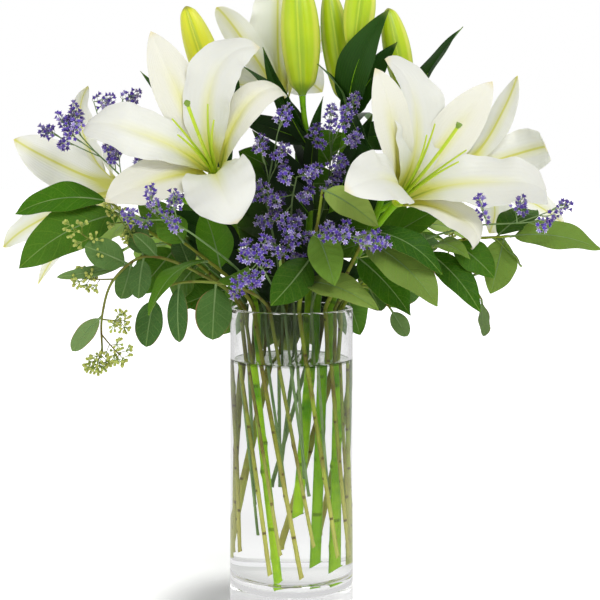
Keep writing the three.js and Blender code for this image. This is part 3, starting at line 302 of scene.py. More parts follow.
def blade(growth, centre, side, normal, half, lift, thick, finish, seed, pale=0.0, thinned=0.6):
    rows, columns = lift.shape
    t = np.linspace(-1, 1, columns)
    half = np.maximum(half, bladeLeast["half"])
    sheet = centre[:, None] + side[:, None] * (half[:, None] * t)[..., None]
    sheet = sheet + normal[:, None] * lift[..., None]
    facing = np.cross(np.gradient(sheet, axis=0), np.gradient(sheet, axis=1))
    size = np.linalg.norm(facing, axis=-1, keepdims=True)
    least = bladeLeast["length"]
    facing = np.where(size > least, facing / np.maximum(size, least), normal[:, None])
    wide = half[:, None, None] > bladeLeast["flat"]
    facing = np.where(wide, facing, np.broadcast_to(normal[:, None], facing.shape))
    offset = facing * (thick / 2 * (1 - thinned * t**4))[None, :, None]
    count = rows * columns
    faces = gridFaces(rows, columns) + gridFaces(rows, columns, count, True)
    for i in range(rows - 1):
        a, b = i * columns, (i + 1) * columns
        faces.append((a, a + count, b + count, b))
        a, b = a + columns - 1, b + columns - 1
        faces.append((a, b, b + count, a + count))
    for j in range(columns - 1):
        faces.append((j, j + 1, j + 1 + count, j + count))
        a = (rows - 1) * columns + j
        faces.append((a, a + count, a + 1 + count, a + 1))
    marks = dict(
        along=np.tile(np.repeat(np.linspace(0, 1, rows), columns), 2),
        across=np.tile(t, 2 * rows),
        reach=np.tile(np.repeat(half, columns), 2),
        side=np.repeat([1.0 + pale, -1.0 - pale], count),
        seed=seed,
    )
    points = [(sheet + offset).reshape(-1, 3), (sheet - offset).reshape(-1, 3)]
    growth.add(np.concatenate(points), faces, finish, **marks)


# A round rod along points, with a radius at each. swell may vary it round each ring, slant cuts
# the first end at an angle. The mark along is its length so far.
def rod(growth, points, radii, sides, finish=0, seed=0.0, swell=None, slant=0.0):
    points = np.asarray(points, float)
    radii = np.broadcast_to(radii, len(points)).astype(float)
    first, last = points[1:2] - points[:1], points[-1:] - points[-2:-1]
    ahead = unit(np.concatenate([first, points[2:] - points[:-2], last]))
    start = np.array([1.0, 0, 0]) if abs(ahead[0][2]) > 0.9 else np.array([0, 0, 1.0])
    angles = ringAngles(sides)
    side = unit(start - ahead[0] * start.dot(ahead[0]))
    rings = []
    for i, point in enumerate(points):
        side = unit(side - ahead[i] * side.dot(ahead[i]))
        other = np.cross(ahead[i], side)
        reach = radii[i] * (1 if swell is None else swell[i])
        ring = point + np.outer(reach * np.cos(angles), side) + np.outer(reach * np.sin(angles), other)
        if i == 0:
            ring = ring + np.outer(slant * radii[0] * (1 + np.cos(angles)), ahead[0])
        rings.append(ring)
    marks = dict(
        along=np.repeat(lengthsAlong(points), sides),
        across=np.tile(angles / (2 * math.pi), len(points)),
        reach=np.repeat(radii, sides),
        seed=seed,
    )
    growth.add(np.concatenate(rings), tubeFaces(len(points), sides), finish, **marks)


# A shape turned round the axis from a start point, closed where its profile meets the axis.
def turned(growth, start, axis, profile, sides, finish=0, seed=0.0, ripple=None):
    axis = unit(axis)
    side = squareTo((0, 0, 1.0) if abs(axis[2]) < 0.9 else (1.0, 0, 0), axis)
    other = np.cross(axis, side)
    angles = ringAngles(sides)
    spoke = np.outer(np.cos(angles), side) + np.outer(np.sin(angles), other)
    profile = np.asarray(profile, float)
    wave = np.ones((len(profile), sides)) if ripple is None else ripple(profile, angles)
    reach = profile[:, 0][:, None] * wave
    points = np.asarray(start, float) + profile[:, 1][:, None, None] * axis + reach[..., None] * spoke
    span = np.ptp(profile[:, 1]) or 1
    marks = dict(
        along=np.repeat((profile[:, 1] - profile[0, 1]) / span, sides),
        across=np.tile(angles / (2 * math.pi), len(profile)),
        reach=np.repeat(profile[:, 0], sides),
        seed=seed,
    )
    growth.add(points, tubeFaces(len(profile), sides), finish, **marks)


print("tools ready")


# The floor is a wide white sheet that glows, less so round the vase, and a soft shadow is painted on it left
# of the vase's foot.
# The light is a white room, one large lamp at the upper right of the front and a weak one at the
# left. Only what is seen straight has the full white of the backdrop: the floor is dimmer through
# glass, and shiny surfaces mirror a dimmer room.
studio = dict(floor=60000, glow=0.64, nearGlow=0.5, near=0.1, far=0.42, backdrop=1.0, room=0.42,
              mirrored=0.7, through=0.42, aim=(0, 0, 0.3))
lamps = dict(
    keyLamp=dict(place=(0.9, -1.6, 2.3), size=1.3, power=35),
    fillLamp=dict(place=(-1.8, -1.3, 1.0), size=1.8, power=8),
)
# a soft shadow painted on the floor left of the vase's foot, as darker glow and colour
paintedFootShadow = dict(centre=(-0.04, -0.01, 0), size=(0.1, 0.11, 1), edge=(0.25, 1.0), depth=0.85, glow=0.1)


def hangLamp(name, lamp):
    light = bpy.data.lights.new(name, "AREA")
    light.shape = "DISK"
    light.size = lamp["size"]
    light.energy = lamp["power"]
    made = bpy.data.objects.new(name, light)
    made.location = lamp["place"]
    way = np.subtract(studio["aim"], lamp["place"])
    made.rotation_euler = (math.atan2(math.hypot(way[0], way[1]), -way[2]), 0, math.atan2(-way[0], way[1]))
    bpy.context.collection.objects.link(made)


def makeFloorPaint():
    paint = Paint("paleFloor", Roughness=1.0, Specular_IOR_Level=0.0, Emission_Strength=1.0)
    fromVase = paint.vector("LENGTH", paint.place(), output="Value")
    away = paint.between(fromVase, studio["near"], studio["far"])
    apart = paint.apart(paintedFootShadow["centre"], paintedFootShadow["size"])
    seen = 1 - paint.after("Diffuse")
    # painted shadow, only for what is seen straight
    shade = (1 - paint.between(apart, *paintedFootShadow["edge"])) * paintedFootShadow["depth"] * seen
    glow = paint.blend(grey(studio["nearGlow"]), grey(studio["glow"]), away)
    glow = paint.blend(glow, grey(studio["backdrop"]), away * seen)
    glow = paint.blend(glow, grey(studio["through"]), away * seen * paint.after("Transmission"))
    paint.use("Emission Color", paint.blend(glow, grey(paintedFootShadow["glow"]), shade))
    pale = paint.blend(tint(250, 250, 250), tint(246, 246, 246), paint.noise(3, 2))
    paint.use("Base Color", paint.blend(pale, tint(150, 150, 150), shade))
    paint.unmirrored()
    return paint


def makeFloor():
    half = studio["floor"] / 2 * mm
    corners = [(-half, -half, 0), (half, -half, 0), (half, half, 0), (-half, half, 0)]
    mesh = bpy.data.meshes.new("floor")
    mesh.from_pydata(corners, [], [(0, 1, 2, 3)])
    mesh.materials.append(makeFloorPaint().material)
    floor = bpy.data.objects.new("floor", mesh)
    bpy.context.collection.objects.link(floor)


def makeRoom():
    room = bpy.data.worlds.new("room")
    bpy.context.scene.world = room
    room.use_nodes = True
    sky = NodeTree(room.node_tree)
    spread, shone = sky.after("Diffuse"), sky.after("Glossy")
    strength = studio["backdrop"] + spread * (studio["room"] - studio["backdrop"])
    strength = strength * (1 - shone) + shone * studio["mirrored"]
    light = room.node_tree.nodes["Background"].inputs
    light["Color"].default_value = grey(1)
    sky.feed(light["Strength"], strength)


for name, lamp in lamps.items():
    hangLamp(name, lamp)
makeFloor()
makeRoom()
bpy.context.scene.view_settings.view_transform = "Standard"
print("studio lit")


# Glass and water. The water bites a little into the glass, a painted shade makes its surface a
# little darker than the rest of it, and it climbs the glass at its rim by meniscus from a middle that lies
# dip lower.
# low and inset are how far from a wall's ends its straight rings begin.
vase = dict(radius=50.8, height=242, wall=3, floor=15, foot=2, lip=1.5, corner=5, low=20, inset=12, rings=8,
            sides=128)
water = dict(level=200, bite=0.15, meniscus=1.2, dip=1, corner=5, low=20, inset=6, rings=6, skin=2)


def makeGlassPaint():
    paint = Paint("clearGlass", Base_Color=tint(252, 252, 252), Roughness=0.0, IOR=1.5,
                  Transmission_Weight=1.0, Specular_Tint=tint(110, 110, 110))
    paint.bump(paint.noise(14, 2), 0.06, 0.4)
    paint.passLight()
    return paint


def makeWaterPaint():
    paint = Paint("water", Roughness=0.0, IOR=1.333, Transmission_Weight=1.0,
                  Specular_Tint=tint(100, 100, 100))
    skin = paint.apart((0, 0, water["level"] * mm), (9, 9, water["skin"] * mm))
    # painted shade: the water's top is tinted darker
    paintedSkinShade = 1 - paint.between(skin, 0.8, 1.2)
    paint.use("Base Color", paint.blend(tint(246, 246, 247), tint(146, 152, 140), paintedSkinShade))
    paint.bump(paint.noise(30, 2), 0.04, 0.3)
    paint.passLight()
    return paint


def quarter(centre, radius, start, count=5):  # points on a quarter circle, from start degrees on
    angles = np.radians(start + np.linspace(0, 90, count))
    return [(centre[0] + radius * math.cos(a), centre[1] + radius * math.sin(a)) for a in angles]


def makeVase():
    outer, inner = vase["radius"], vase["radius"] - vase["wall"]
    foot, lip, height, corner = vase["foot"], vase["lip"], vase["height"], vase["corner"]
    low, high = vase["floor"] + vase["inset"], height - vase["inset"]
    profile = [(0, 0), (outer * 0.5, 0)]
    profile += quarter((outer - foot, foot), foot, -90)
    profile += [(outer, z) for z in np.linspace(vase["low"], high, vase["rings"])]
    profile += quarter((outer - lip, height - lip), lip, 0)
    profile += quarter((inner + lip, height - lip), lip, 90)
    profile += [(inner, z) for z in np.linspace(high, low, vase["rings"])]
    profile += quarter((inner - corner, vase["floor"] + corner), corner, 0)[::-1]
    profile += [(inner * 0.5, vase["floor"]), (0, vase["floor"])]
    growth = Growth()
    turned(growth, (0, 0, 0), (0, 0, 1), profile, vase["sides"])
    growth.piece("glassVase", "vase", [makeGlassPaint()])


def makeWater():
    reach = vase["radius"] - vase["wall"] + water["bite"]
    low, level, corner = vase["floor"] - water["bite"], water["level"], water["corner"]
    flat = level - water["dip"]
    profile = [(0, low), (reach * 0.6, low)]
    profile += quarter((reach - corner, low + corner), corner, -90)
    profile += [(reach, z) for z in np.linspace(low + water["low"], level - water["inset"], water["rings"])]
    profile += [(reach, flat + water["meniscus"]), (reach - 0.4, level + 0.1), (reach - 2, flat + 0.2)]
    profile += [(reach * 0.6, flat), (0, flat)]
    growth = Growth()
    turned(growth, (0, 0, 0), (0, 0, 1), profile, vase["sides"])
    growth.piece("vaseWater", "water", [makeWaterPaint()])


makeVase()
makeWater()
print("vase and water made")


# Where a stem stands: straight from its foot to the rim, then on a curve. Its foot is where its
# place in the rim comes when all are turned round the axis and drawn in, by ahead and aside. The
# curve leaves the rim the way it comes from the point knot below it.
stand = dict(ahead=0.45, aside=0.8, knot=50)


def inVase(rim, z):
    share = (vase["height"] - z) / (vase["height"] - vase["floor"])
    ahead, aside = stand["ahead"], stand["aside"]
    low = (ahead * rim[0] - aside * rim[1], aside * rim[0] + ahead * rim[1])
    return np.array([rim[0] + (low[0] - rim[0]) * share, rim[1] + (low[1] - rim[1]) * share, z])


def upper(stem, t):  # points above the rim, t from 0 at the rim to 1 at the stem's end
    low = [inVase(stem["rim"], vase["height"] - depth) for depth in (stand["knot"], 0)]
    knots = np.array([*low, *stem["way"]], float)
    knots = np.concatenate([[2 * knots[0] - knots[1]], knots, [2 * knots[-1] - knots[-2]]])
    spans = len(knots) - 3
    first = 1 / spans
    t = (first + (1 - first) * np.atleast_1d(np.asarray(t, float))) * spans
    i = np.clip(np.floor(t).astype(int), 0, spans - 1)
    f = (t - i)[:, None]
    a, b, c, d = (knots[i + k] for k in range(4))
    bend = 0.5 * ((c - a) * f + (2 * a - 5 * b + 4 * c - d) * f**2 + (3 * b - a - 3 * c + d) * f**3)
    return b + bend


# at is the leaf's place on its stem, to its tip, face the way that its upper side looks. bow is
# how far it is arched, as a share of its length. pale is a share of its underside's colour on its
# upper side; below 0 it darkens the leaf instead, a painted shade for a leaf in shadow.
def leaf(at, to, face, width, bow, pale=0.12):
    return dict(at=at, to=to, face=face, width=width, bow=bow, pale=pale)


# joint is the distance from one leaf scar to the next. scarTurn is how far, in radians, the next
# scar stands round the stem.
stemKinds = dict(
    lily=dict(radius=3.1, tip=2.4, sides=16, slant=0.9, joint=23),
    shallon=dict(radius=1.7, tip=1.0, sides=10, slant=0.5, joint=17),
    eucalyptus=dict(radius=1.4, tip=0.8, sides=10, slant=0.5, joint=21),
    lavender=dict(radius=1.1, tip=0.6, sides=7, slant=0, joint=60),
)
stemMake = dict(lowRings=40, highRings=14, ring=0.015, ringReach=2.0, scar=0.3, scarReach=1.8, scarTurn=2.4,
                ridge=0.02)


# The stem itself, with a low ring and a small one-sided scar wherever a leaf once stood.
def stemRod(growth, stem, kind, chance, finish):
    low = [inVase(stem["rim"], z) for z in np.linspace(stem["foot"], vase["height"], stemMake["lowRings"])]
    high = upper(stem, np.linspace(0, 1, stemMake["highRings"] * len(stem["way"]))[1:])
    points = np.concatenate([low, high])
    share = np.concatenate([np.zeros(len(low)), np.linspace(0, 1, len(high) + 1)[1:]])
    radii = kind["radius"] + (kind["tip"] - kind["radius"]) * share
    joints = lengthsAlong(points) / kind["joint"]
    near = np.abs((joints + 0.5) % 1 - 0.5) * kind["joint"]
    angles = ringAngles(kind["sides"])
    ring = stemMake["ring"] * np.exp(-((near / stemMake["ringReach"]) ** 2))
    scar = stemMake["scar"] * np.exp(-((near / stemMake["scarReach"]) ** 2))
    facing = np.cos(angles - np.round(joints)[:, None] * stemMake["scarTurn"])
    swell = 1 + ring[:, None] + scar[:, None] * np.maximum(0, facing) ** 4
    swell = swell + stemMake["ridge"] * np.cos(3 * angles)
    rod(growth, points, radii, kind["sides"], finish, chance.random(), swell, kind["slant"])


print("stems ready")


# Lily petals: a broad white blade with a groove along its middle, green towards the throat. root
# is its distance from the axis where it starts, cream is 2 where its white is yellower, which its
# seed tells the paint. trough is how much it bends round the axis, which at its root is taken to
# be at least troughRadius away. waves and ruffles are counts along it.
petalKinds = dict(
    inner=dict(width=47, rise=1.15, fall=0.8, root=2.4, back=0, wave=0.1, ruffle=0.07, cream=0),
    outer=dict(width=35, rise=1.0, fall=0.85, root=4.6, back=4, wave=0.05, ruffle=0.025, cream=2),
)
petalMake = dict(thick=0.8, rows=42, columns=19, steps=84, groove=1.5, grooveWidth=2.6, opened=0.55,
                 trough=0.85, troughRadius=5, waves=1.6, ruffles=3.1, fineRuffles=6.7, fine=0.6, rim=0.05)
petalTints = dict(
    white=tint(228, 228, 219),
    cloud=tint(216, 217, 208),
    cream=tint(232, 227, 202),
    back=tint(255, 255, 248),
    tip=tint(222, 208, 150),
    green=tint(222, 220, 84),
    throatLine=tint(140, 165, 48),
)


def makePetalPaint():
    paint = Paint("lilyPetal", Roughness=0.42, Subsurface_Weight=0.15, Subsurface_Scale=0.003,
                  Subsurface_Radius=(1.0, 0.9, 0.6), Specular_IOR_Level=0.3)
    along, across, side, seed = (paint.mark(label) for label in ("along", "across", "side", "seed"))
    offset = paint.maths("ABSOLUTE", across * paint.mark("reach"))
    inside = paint.between(side, -0.2, 0.2)
    middle = 1 - paint.between(offset, 0.5, 9.0)
    line = 1 - paint.between(offset, 0.2, 1.6)
    throat = 1 - paint.between(along, 0.06, 0.34)
    fade = 1 - paint.between(along, 0.25, 0.85)
    keel = 1 - paint.between(offset, 0.8, 8.0)
    cloud = paint.noise(26)
    outer = paint.between(seed, 1.2, 1.8)
    green = inside * (middle * fade * (0.5 + 0.25 * outer) + line * fade * 0.15 + throat * 0.85)
    green = green + (1 - inside) * (0.03 + keel * (0.5 - 0.25 * along) + line * 0.5 + throat * 0.6)
    white = paint.blend(petalTints["white"], petalTints["cloud"], cloud)
    white = paint.blend(white, petalTints["cream"], outer * (0.35 + 0.25 * (1 - inside)))
    white = paint.blend(white, petalTints["back"], (1 - inside) * 0.85)
    white = paint.blend(white, petalTints["tip"], paint.between(along, 0.94, 1.0) * 0.6)
    colour = paint.blend(white, petalTints["green"], paint.maths("MINIMUM", green, 0.9))
    colour = paint.blend(colour, petalTints["throatLine"], throat * line * inside * 0.8)
    paint.use("Base Color", colour)
    veins = paint.maths("SINE", across * (34 + 8 * seed) + paint.noise(60, 2) * 2.5)
    grain = paint.noise(420, 2)
    paint.use("Roughness", 0.38 + 0.12 * cloud)
    paint.bump(veins * (0.5 - 0.3 * along) + grain * 0.5 - line * 1.2, 0.35, 0.35)
    return paint


def petal(kind, around, length, throat, lean, curl, curlFrom, sway, width=None, twist=0):
    width = width or petalKinds[kind]["width"]
    return dict(kind=kind, around=around, length=length, throat=throat, lean=lean, curl=curl,
                curlFrom=curlFrom, sway=sway, width=width, twist=twist)


# The five blooms. around is each petal's place round the axis, and sway how far its tip is from
# there. It leans from throat to lean and then curls back by curl, from curlFrom on. All of these
# but curlFrom are in degrees. reach is the length of the pistil.
blooms = {
    "left": dict(
        at=(-61, -30, 352),
        axis=(-0.22, -0.8, 0.56),
        reach=78,
        petals=[
            petal("inner", 97, 130, 24, 54, 80, 0.5, -80, width=47),
            petal("outer", 120, 126, 24, 54, 15, 0.7, 0, width=38),
            petal("inner", 174, 128, 24, 62, 90, 0.62, 0, width=44),
            petal("outer", 222, 100, 26, 62, 20, 0.6, 0, width=48),
            petal("inner", 300, 94, 24, 62, 110, 0.5, 0, width=57),
            petal("outer", 46, 114, 20, 50, 145, 0.48, -6, width=33),
        ],
    ),
    "right": dict(
        at=(86, -26, 330),
        axis=(0.48, -0.66, 0.58),
        reach=84,
        petals=[
            petal("inner", 78, 128, 20, 52, 40, 0.6, 76, width=56),
            petal("outer", 127, 118, 20, 42, 20, 0.7, 0, twist=-50),
            petal("inner", 193, 120, 24, 64, 60, 0.55, 0, width=50),
            petal("outer", 300, 90, 26, 64, 140, 0.6, 0, width=36),
            petal("inner", 335, 138, 22, 57, 100, 0.66, 0, width=54),
            petal("outer", 40, 124, 20, 44, 15, 0.7, 0, width=38),
        ],
    ),
    "far_left": dict(
        at=(-145, 35, 339),
        axis=(-0.86, 0.42, 0.08),
        reach=70,
        petals=[
            petal("outer", 25, 104, 24, 58, 20, 0.6, 0, width=40),
            petal("inner", 85, 106, 24, 64, 70, 0.5, 0, width=40),
            petal("outer", 145, 112, 24, 60, 70, 0.55, 0),
            petal("inner", 205, 114, 24, 60, 70, 0.55, 0),
            petal("outer", 278, 114, 24, 50, 20, 0.6, 0, width=24),
            petal("inner", 325, 116, 24, 58, 40, 0.6, 0, width=30),
        ],
    ),
    "far_right": dict(
        at=(146, 35, 354),
        axis=(0.8, 0.5, 0.3),
        reach=56,
        petals=[
            petal("outer", 121, 94, 24, 60, 20, 0.6, 0, width=26),
            petal("inner", 172, 92, 24, 56, 90, 0.5, 0, width=38),
            petal("outer", 241, 100, 24, 48, 20, 0.6, 0),
            petal("inner", 301, 106, 24, 60, 60, 0.55, 0),
            petal("outer", 1, 104, 24, 58, 70, 0.5, 0),
            petal("inner", 52, 80, 24, 66, 110, 0.45, 0, width=34),
        ],
    ),
    "top": dict(
        at=(-7, 30, 415),
        axis=(-0.35, 0.55, 0.75),
        reach=60,
        petals=[
            petal("outer", 38, 106, 24, 54, 60, 0.6, 0, width=26),
            petal("inner", 82, 108, 24, 52, 10, 0.6, 0),
            petal("outer", 146, 106, 24, 54, 60, 0.55, 0),
            petal("inner", 204, 108, 24, 58, 70, 0.55, 0),
            petal("outer", 264, 106, 24, 54, 60, 0.55, 0),
            petal("inner", 322, 108, 24, 56, 70, 0.55, 0),
        ],
    ),
}


def axesOf(bloom):
    w = unit(bloom["axis"])
    first = squareTo((0, 0, 1.0), w)
    return w, first, np.cross(w, first)


def makePetal(growth, bloom, one, chance):
    kind = petalKinds[one["kind"]]
    w, first, second = axesOf(bloom)
    steps = petalMake["steps"]
    step = one["length"] / steps

    def ways(s):  # away from the axis, the angle to it, along the petal, and across it
        around = np.radians(one["around"] + one["sway"] * s * s)[:, None]
        u = first * np.cos(around) + second * np.sin(around)
        curl = np.clip((s - one["curlFrom"]) / (1 - one["curlFrom"]), 0, None)
        opened = one["throat"] + (one["lean"] - one["throat"]) * smooth(s / petalMake["opened"])
        theta = np.radians(kind["back"] + opened + one["curl"] * curl**1.5)
        ahead = w * np.cos(theta)[:, None] + u * np.sin(theta)[:, None]
        return u, theta, ahead, np.cross(w, u)

    u, theta, ahead, across = ways(np.arange(steps + 1) / steps)
    middle = ways((np.arange(steps) + 0.5) / steps)
    centre = np.concatenate([[np.zeros(3)], np.cumsum(middle[2] * step, axis=0)])
    centre = centre + np.array(bloom["at"], float) + u[0] * kind["root"]
    radius = kind["root"] + np.concatenate([[0], np.cumsum(np.sin(middle[1]) * step)])
    pick = np.round(np.linspace(0, steps, petalMake["rows"] + 1)).astype(int)
    s = pick / steps
    half = one["width"] / 2 * outline(s, kind["rise"], kind["fall"])
    side = spun(across[pick], ahead[pick], np.radians(one["twist"]) * s)
    normal = np.cross(ahead[pick], side)
    t = np.linspace(-1, 1, petalMake["columns"])[None, :]
    x = half[:, None] * t
    away = np.maximum(radius[pick], petalMake["troughRadius"])
    bend = (petalMake["trough"] * np.cos(theta[pick]) / (2 * away))[:, None]
    phase = (2 * math.pi * (petalMake["waves"] * s + one["around"] / 90))[:, None]
    lift = bend * x**2 + kind["wave"] * half[:, None] * t**2 * np.sin(phase + np.where(t < 0, 2.0, 0.0))
    fade = (np.minimum(1, s * 9) * (1 - s) ** 0.5)[:, None]
    lift = lift - petalMake["groove"] * fade * np.exp(-((x / petalMake["grooveWidth"]) ** 2))
    shift = chance.uniform(0, fullTurn)
    fine = np.sin(2 * math.pi * petalMake["fineRuffles"] * s[:, None] + 2.1 * shift)
    for sign in (-1, 1):
        edge = np.clip(t * sign, 0, 1) ** 3
        wave = np.sin(2 * math.pi * (petalMake["ruffles"] * s[:, None] + 0.2 * sign) + shift * sign)
        lift = lift + kind["ruffle"] * half[:, None] * edge * (wave + petalMake["fine"] * fine)
    lift = lift - petalMake["rim"] * half[:, None] * np.abs(t) ** 4 * (1 - s[:, None])
    seed = chance.random() + kind["cream"]
    blade(growth, centre[pick], side, normal, half, lift, petalMake["thick"], 0, seed)


# The green cup that the petals stand in. It begins a little behind the bloom's place.
cup = dict(back=3, top=4, sides=24,
           profile=[(0, 0), (3.4, 0), (4.2, 0.8), (5.2, 3), (6, 5.2), (4.6, 6.4), (0, 7)])


def makeBloom(name, bloom, paints):
    chance = random.Random(name)
    growth = Growth()
    w = axesOf(bloom)[0]
    start = np.array(bloom["at"], float) - w * cup["back"]
    turned(growth, start, w, cup["profile"], cup["sides"], finish=1)
    for one in bloom["petals"]:
        makePetal(growth, bloom, one, chance)
    growth.piece("bloom_" + name, "lily_bloom_" + name, paints)


# The pistil, with a three-lobed tip, and the six filaments. Both rise a little from the bloom's
# axis. ovary, style, root and tip are radii; reach, aside and bendAt are shares of the pistil.
# Where these curves are bent, bow is how far a filament is from the axis.
heart = dict(ovary=2.7, style=1.4, rise=0.1, bendAt=0.55, rows=30, sides=18, ridge=0.1, seat=0.3)
stigma = dict(sides=24, below=1.6, lobe=0.16, lobeFrom=3,
              profile=[(1.2, -1.6), (1.6, -0.4), (2.3, 0.9), (2.3, 1.9), (2.5, 2.7), (1.5, 3.1), (0.5, 2.8)])
filament = dict(count=6, root=1.35, tip=0.65, spread=1.8, turn=20, reach=0.8, aside=0.22, rise=0.6,
                bendAt=0.45, bow=5, rows=20, sides=8)
heartTints = dict(
    base=tint(160, 196, 16),
    far=tint(196, 220, 52),
    filament=tint(196, 216, 80),
    cloud=tint(140, 168, 36),
    stigma=tint(96, 134, 30),
    stigmaSpot=tint(140, 168, 52),
)


def makeHeartPaint():
    paint = Paint("pistilGreen", Roughness=0.35, Subsurface_Weight=0.15, Subsurface_Scale=0.002)
    along, seed = paint.mark("along"), paint.mark("seed")
    shade = paint.blend(heartTints["base"], heartTints["far"], paint.between(along, 10, 60))
    shade = paint.blend(shade, heartTints["filament"], seed * 0.35)
    paint.use("Base Color", paint.blend(shade, heartTints["cloud"], paint.noise(120, 2) * 0.3))
    paint.bump(paint.noise(500, 2), 0.25, 0.2)
    return paint


def makeStigmaPaint():
    paint = Paint("stigmaGreen", Roughness=0.3, Coat_Weight=0.4)
    spots = paint.noise(900, 2)
    paint.use("Base Color", paint.blend(heartTints["stigma"], heartTints["stigmaSpot"], spots))
    paint.bump(spots, 0.5, 0.3)
    return paint


def makeHeart(name, bloom, paints):
    growth = Growth()
    w, first, second = axesOf(bloom)
    base = np.array(bloom["at"], float) + w * (cup["top"] + heart["seat"])
    reach = bloom["reach"]
    rise = np.array([0, 0, heart["rise"] * reach])
    tip = base + w * reach + rise
    style = quadratic(base, base + w * reach * heart["bendAt"], tip, heart["rows"])
    share = np.linspace(0, 1, heart["rows"])
    radii = heart["style"] + (heart["ovary"] - heart["style"]) * (1 - smooth((share - 0.08) / 0.16))
    ridge = heart["ridge"] * (1 - smooth((share - 0.1) / 0.15))
    swell = 1 + ridge[:, None] * np.cos(6 * ringAngles(heart["sides"]))
    rod(growth, style, radii, heart["sides"], swell=swell)
    ahead = unit(style[-1] - style[-2])

    def lobes(profile, angles):
        deep = np.clip(profile[:, 1] / stigma["lobeFrom"], 0, 1)[:, None]
        return 1 + stigma["lobe"] * np.cos(3 * angles)[None, :] * deep

    low = tip - ahead * stigma["below"]
    turned(growth, low, ahead, stigma["profile"], stigma["sides"], finish=1, ripple=lobes)
    for i in range(filament["count"]):
        around = math.radians(360 / filament["count"] * i + bloom["petals"][0]["around"] + filament["turn"])
        u = first * math.cos(around) + second * math.sin(around)
        root = base + w + u * filament["spread"]
        end = base + w * reach * filament["reach"] + u * reach * filament["aside"] + rise * filament["rise"]
        middle = base + w * reach * filament["bendAt"] + u * filament["bow"]
        share = np.linspace(0, 1, filament["rows"])
        radii = filament["root"] + (filament["tip"] - filament["root"]) * share**1.5
        arc = quadratic(root, middle, end, filament["rows"])
        rod(growth, arc, radii, filament["sides"], seed=0.3 + 0.12 * i)
    growth.piece("pistil_" + name, "lily_pistil_" + name, paints)


# Buds: three closed outer petals with a seam between each two, and a ridge along each. seat is
# the radius at its stalk, least the least share of its width, tip the share where its end rounds
# off. The left bud is riper, so yellower.
buds = {
    "left": dict(start=(-58, 15, 404), end=(-88, 5, 492), width=28),
    "centre": dict(start=(9, -5, 417), end=(4, -5, 516), width=34),
    "inner_right": dict(start=(45, 12, 412), end=(31, 10, 506), width=26),
    "outer_right": dict(start=(51, -14, 454), end=(59, -16, 517), width=27),
    "right": dict(start=(95, 4, 418), end=(80, 2, 490), width=24),
}
budMake = dict(rows=34, sides=60, petals=3, seat=3.2, seatEnd=0.1, least=0.16, rise=0.75, fall=0.62, tip=0.93,
               phase=0.6, twist=0.35, lobe=0.055, seam=0.9, seamWidth=0.05)
ripeBud = dict(centre=(-0.08, 0.01, 0.46), size=(0.04, 0.04, 0.07))
budTints = dict(
    light=tint(200, 218, 26),
    patch=tint(156, 190, 12),
    ripe=tint(236, 228, 44),
    seam=tint(222, 226, 96),
    ridge=tint(120, 160, 24),
    foot=tint(92, 140, 40),
    tip=tint(150, 150, 60),
)


def makeBudPaint():
    paint = Paint("budGreen", Roughness=0.4, Subsurface_Weight=0.12, Subsurface_Scale=0.003)
    along, across = paint.mark("along"), paint.mark("across")
    rib = paint.maths("COSINE", across * (2 * math.pi * budMake["petals"]))
    seam = paint.between(0 - rib, 0.55, 1.0)
    ridge = paint.between(rib, 0.6, 1.0)
    patch = paint.noise(38)
    shade = paint.blend(budTints["light"], budTints["patch"], patch)
    ripe = 1 - paint.between(paint.apart(**ripeBud), 0.8, 1.2)
    shade = paint.blend(shade, budTints["ripe"], ripe * (0.35 + 0.5 * patch))
    shade = paint.blend(shade, budTints["seam"], seam * 0.75)
    shade = paint.blend(shade, budTints["ridge"], ridge * 0.5)
    shade = paint.blend(shade, budTints["foot"], (1 - paint.between(along, 0.0, 0.14)) * 0.8)
    paint.use("Base Color", paint.blend(shade, budTints["tip"], paint.between(along, 0.95, 1.0)))
    paint.bump(paint.maths("SINE", across * 150 + patch * 2) * 0.4 + patch, 0.3, 0.3)
    return paint


def makeBud(name, bud, paint):
    growth = Growth()
    start, end = np.array(bud["start"], float), np.array(bud["end"], float)
    length = np.linalg.norm(end - start)
    share = 0.5 - 0.5 * np.cos(np.linspace(0, math.pi, budMake["rows"]))
    least, tip = budMake["least"], budMake["tip"]
    full = outline(0.06 + 0.9 * share, budMake["rise"], budMake["fall"])
    radii = bud["width"] / 2 * np.clip(least + (1 - least) * full - least * share**2, 0, None)
    radii = budMake["seat"] + (radii - budMake["seat"]) * smooth(share / budMake["seatEnd"])
    radii = radii * np.sqrt(np.clip(1 - np.clip((share - tip) / (1 - tip), 0, 1) ** 2, 0.02, 1))
    phase = random.Random(name).uniform(0, budMake["phase"])

    def lobes(profile, angles):
        s = (profile[:, 1] / length)[:, None]
        a = angles[None, :] + budMake["twist"] * s + phase
        strength = np.clip(s * 8, 0, 1) * budMake["lobe"]
        offset = np.abs((a * budMake["petals"] / (2 * math.pi)) % 1 - 0.5)
        seam = budMake["seam"] * np.exp(-((offset / budMake["seamWidth"]) ** 2))
        return 1 + strength * (np.cos(budMake["petals"] * a) - seam)

    profile = np.column_stack([radii, share * length])
    turned(growth, start, end - start, profile, budMake["sides"], ripple=lobes)
    growth.piece("bud_" + name, "lily_bud_" + name, [paint])


budPaint = makeBudPaint()
petalPaints = [makePetalPaint(), budPaint]
heartPaints = [makeHeartPaint(), makeStigmaPaint()]
for name, bloom in blooms.items():
    makeBloom(name, bloom, petalPaints)
    makeHeart(name, bloom, heartPaints)
for name, bud in buds.items():
    makeBud(name, bud, budPaint)
print("blooms and buds made")


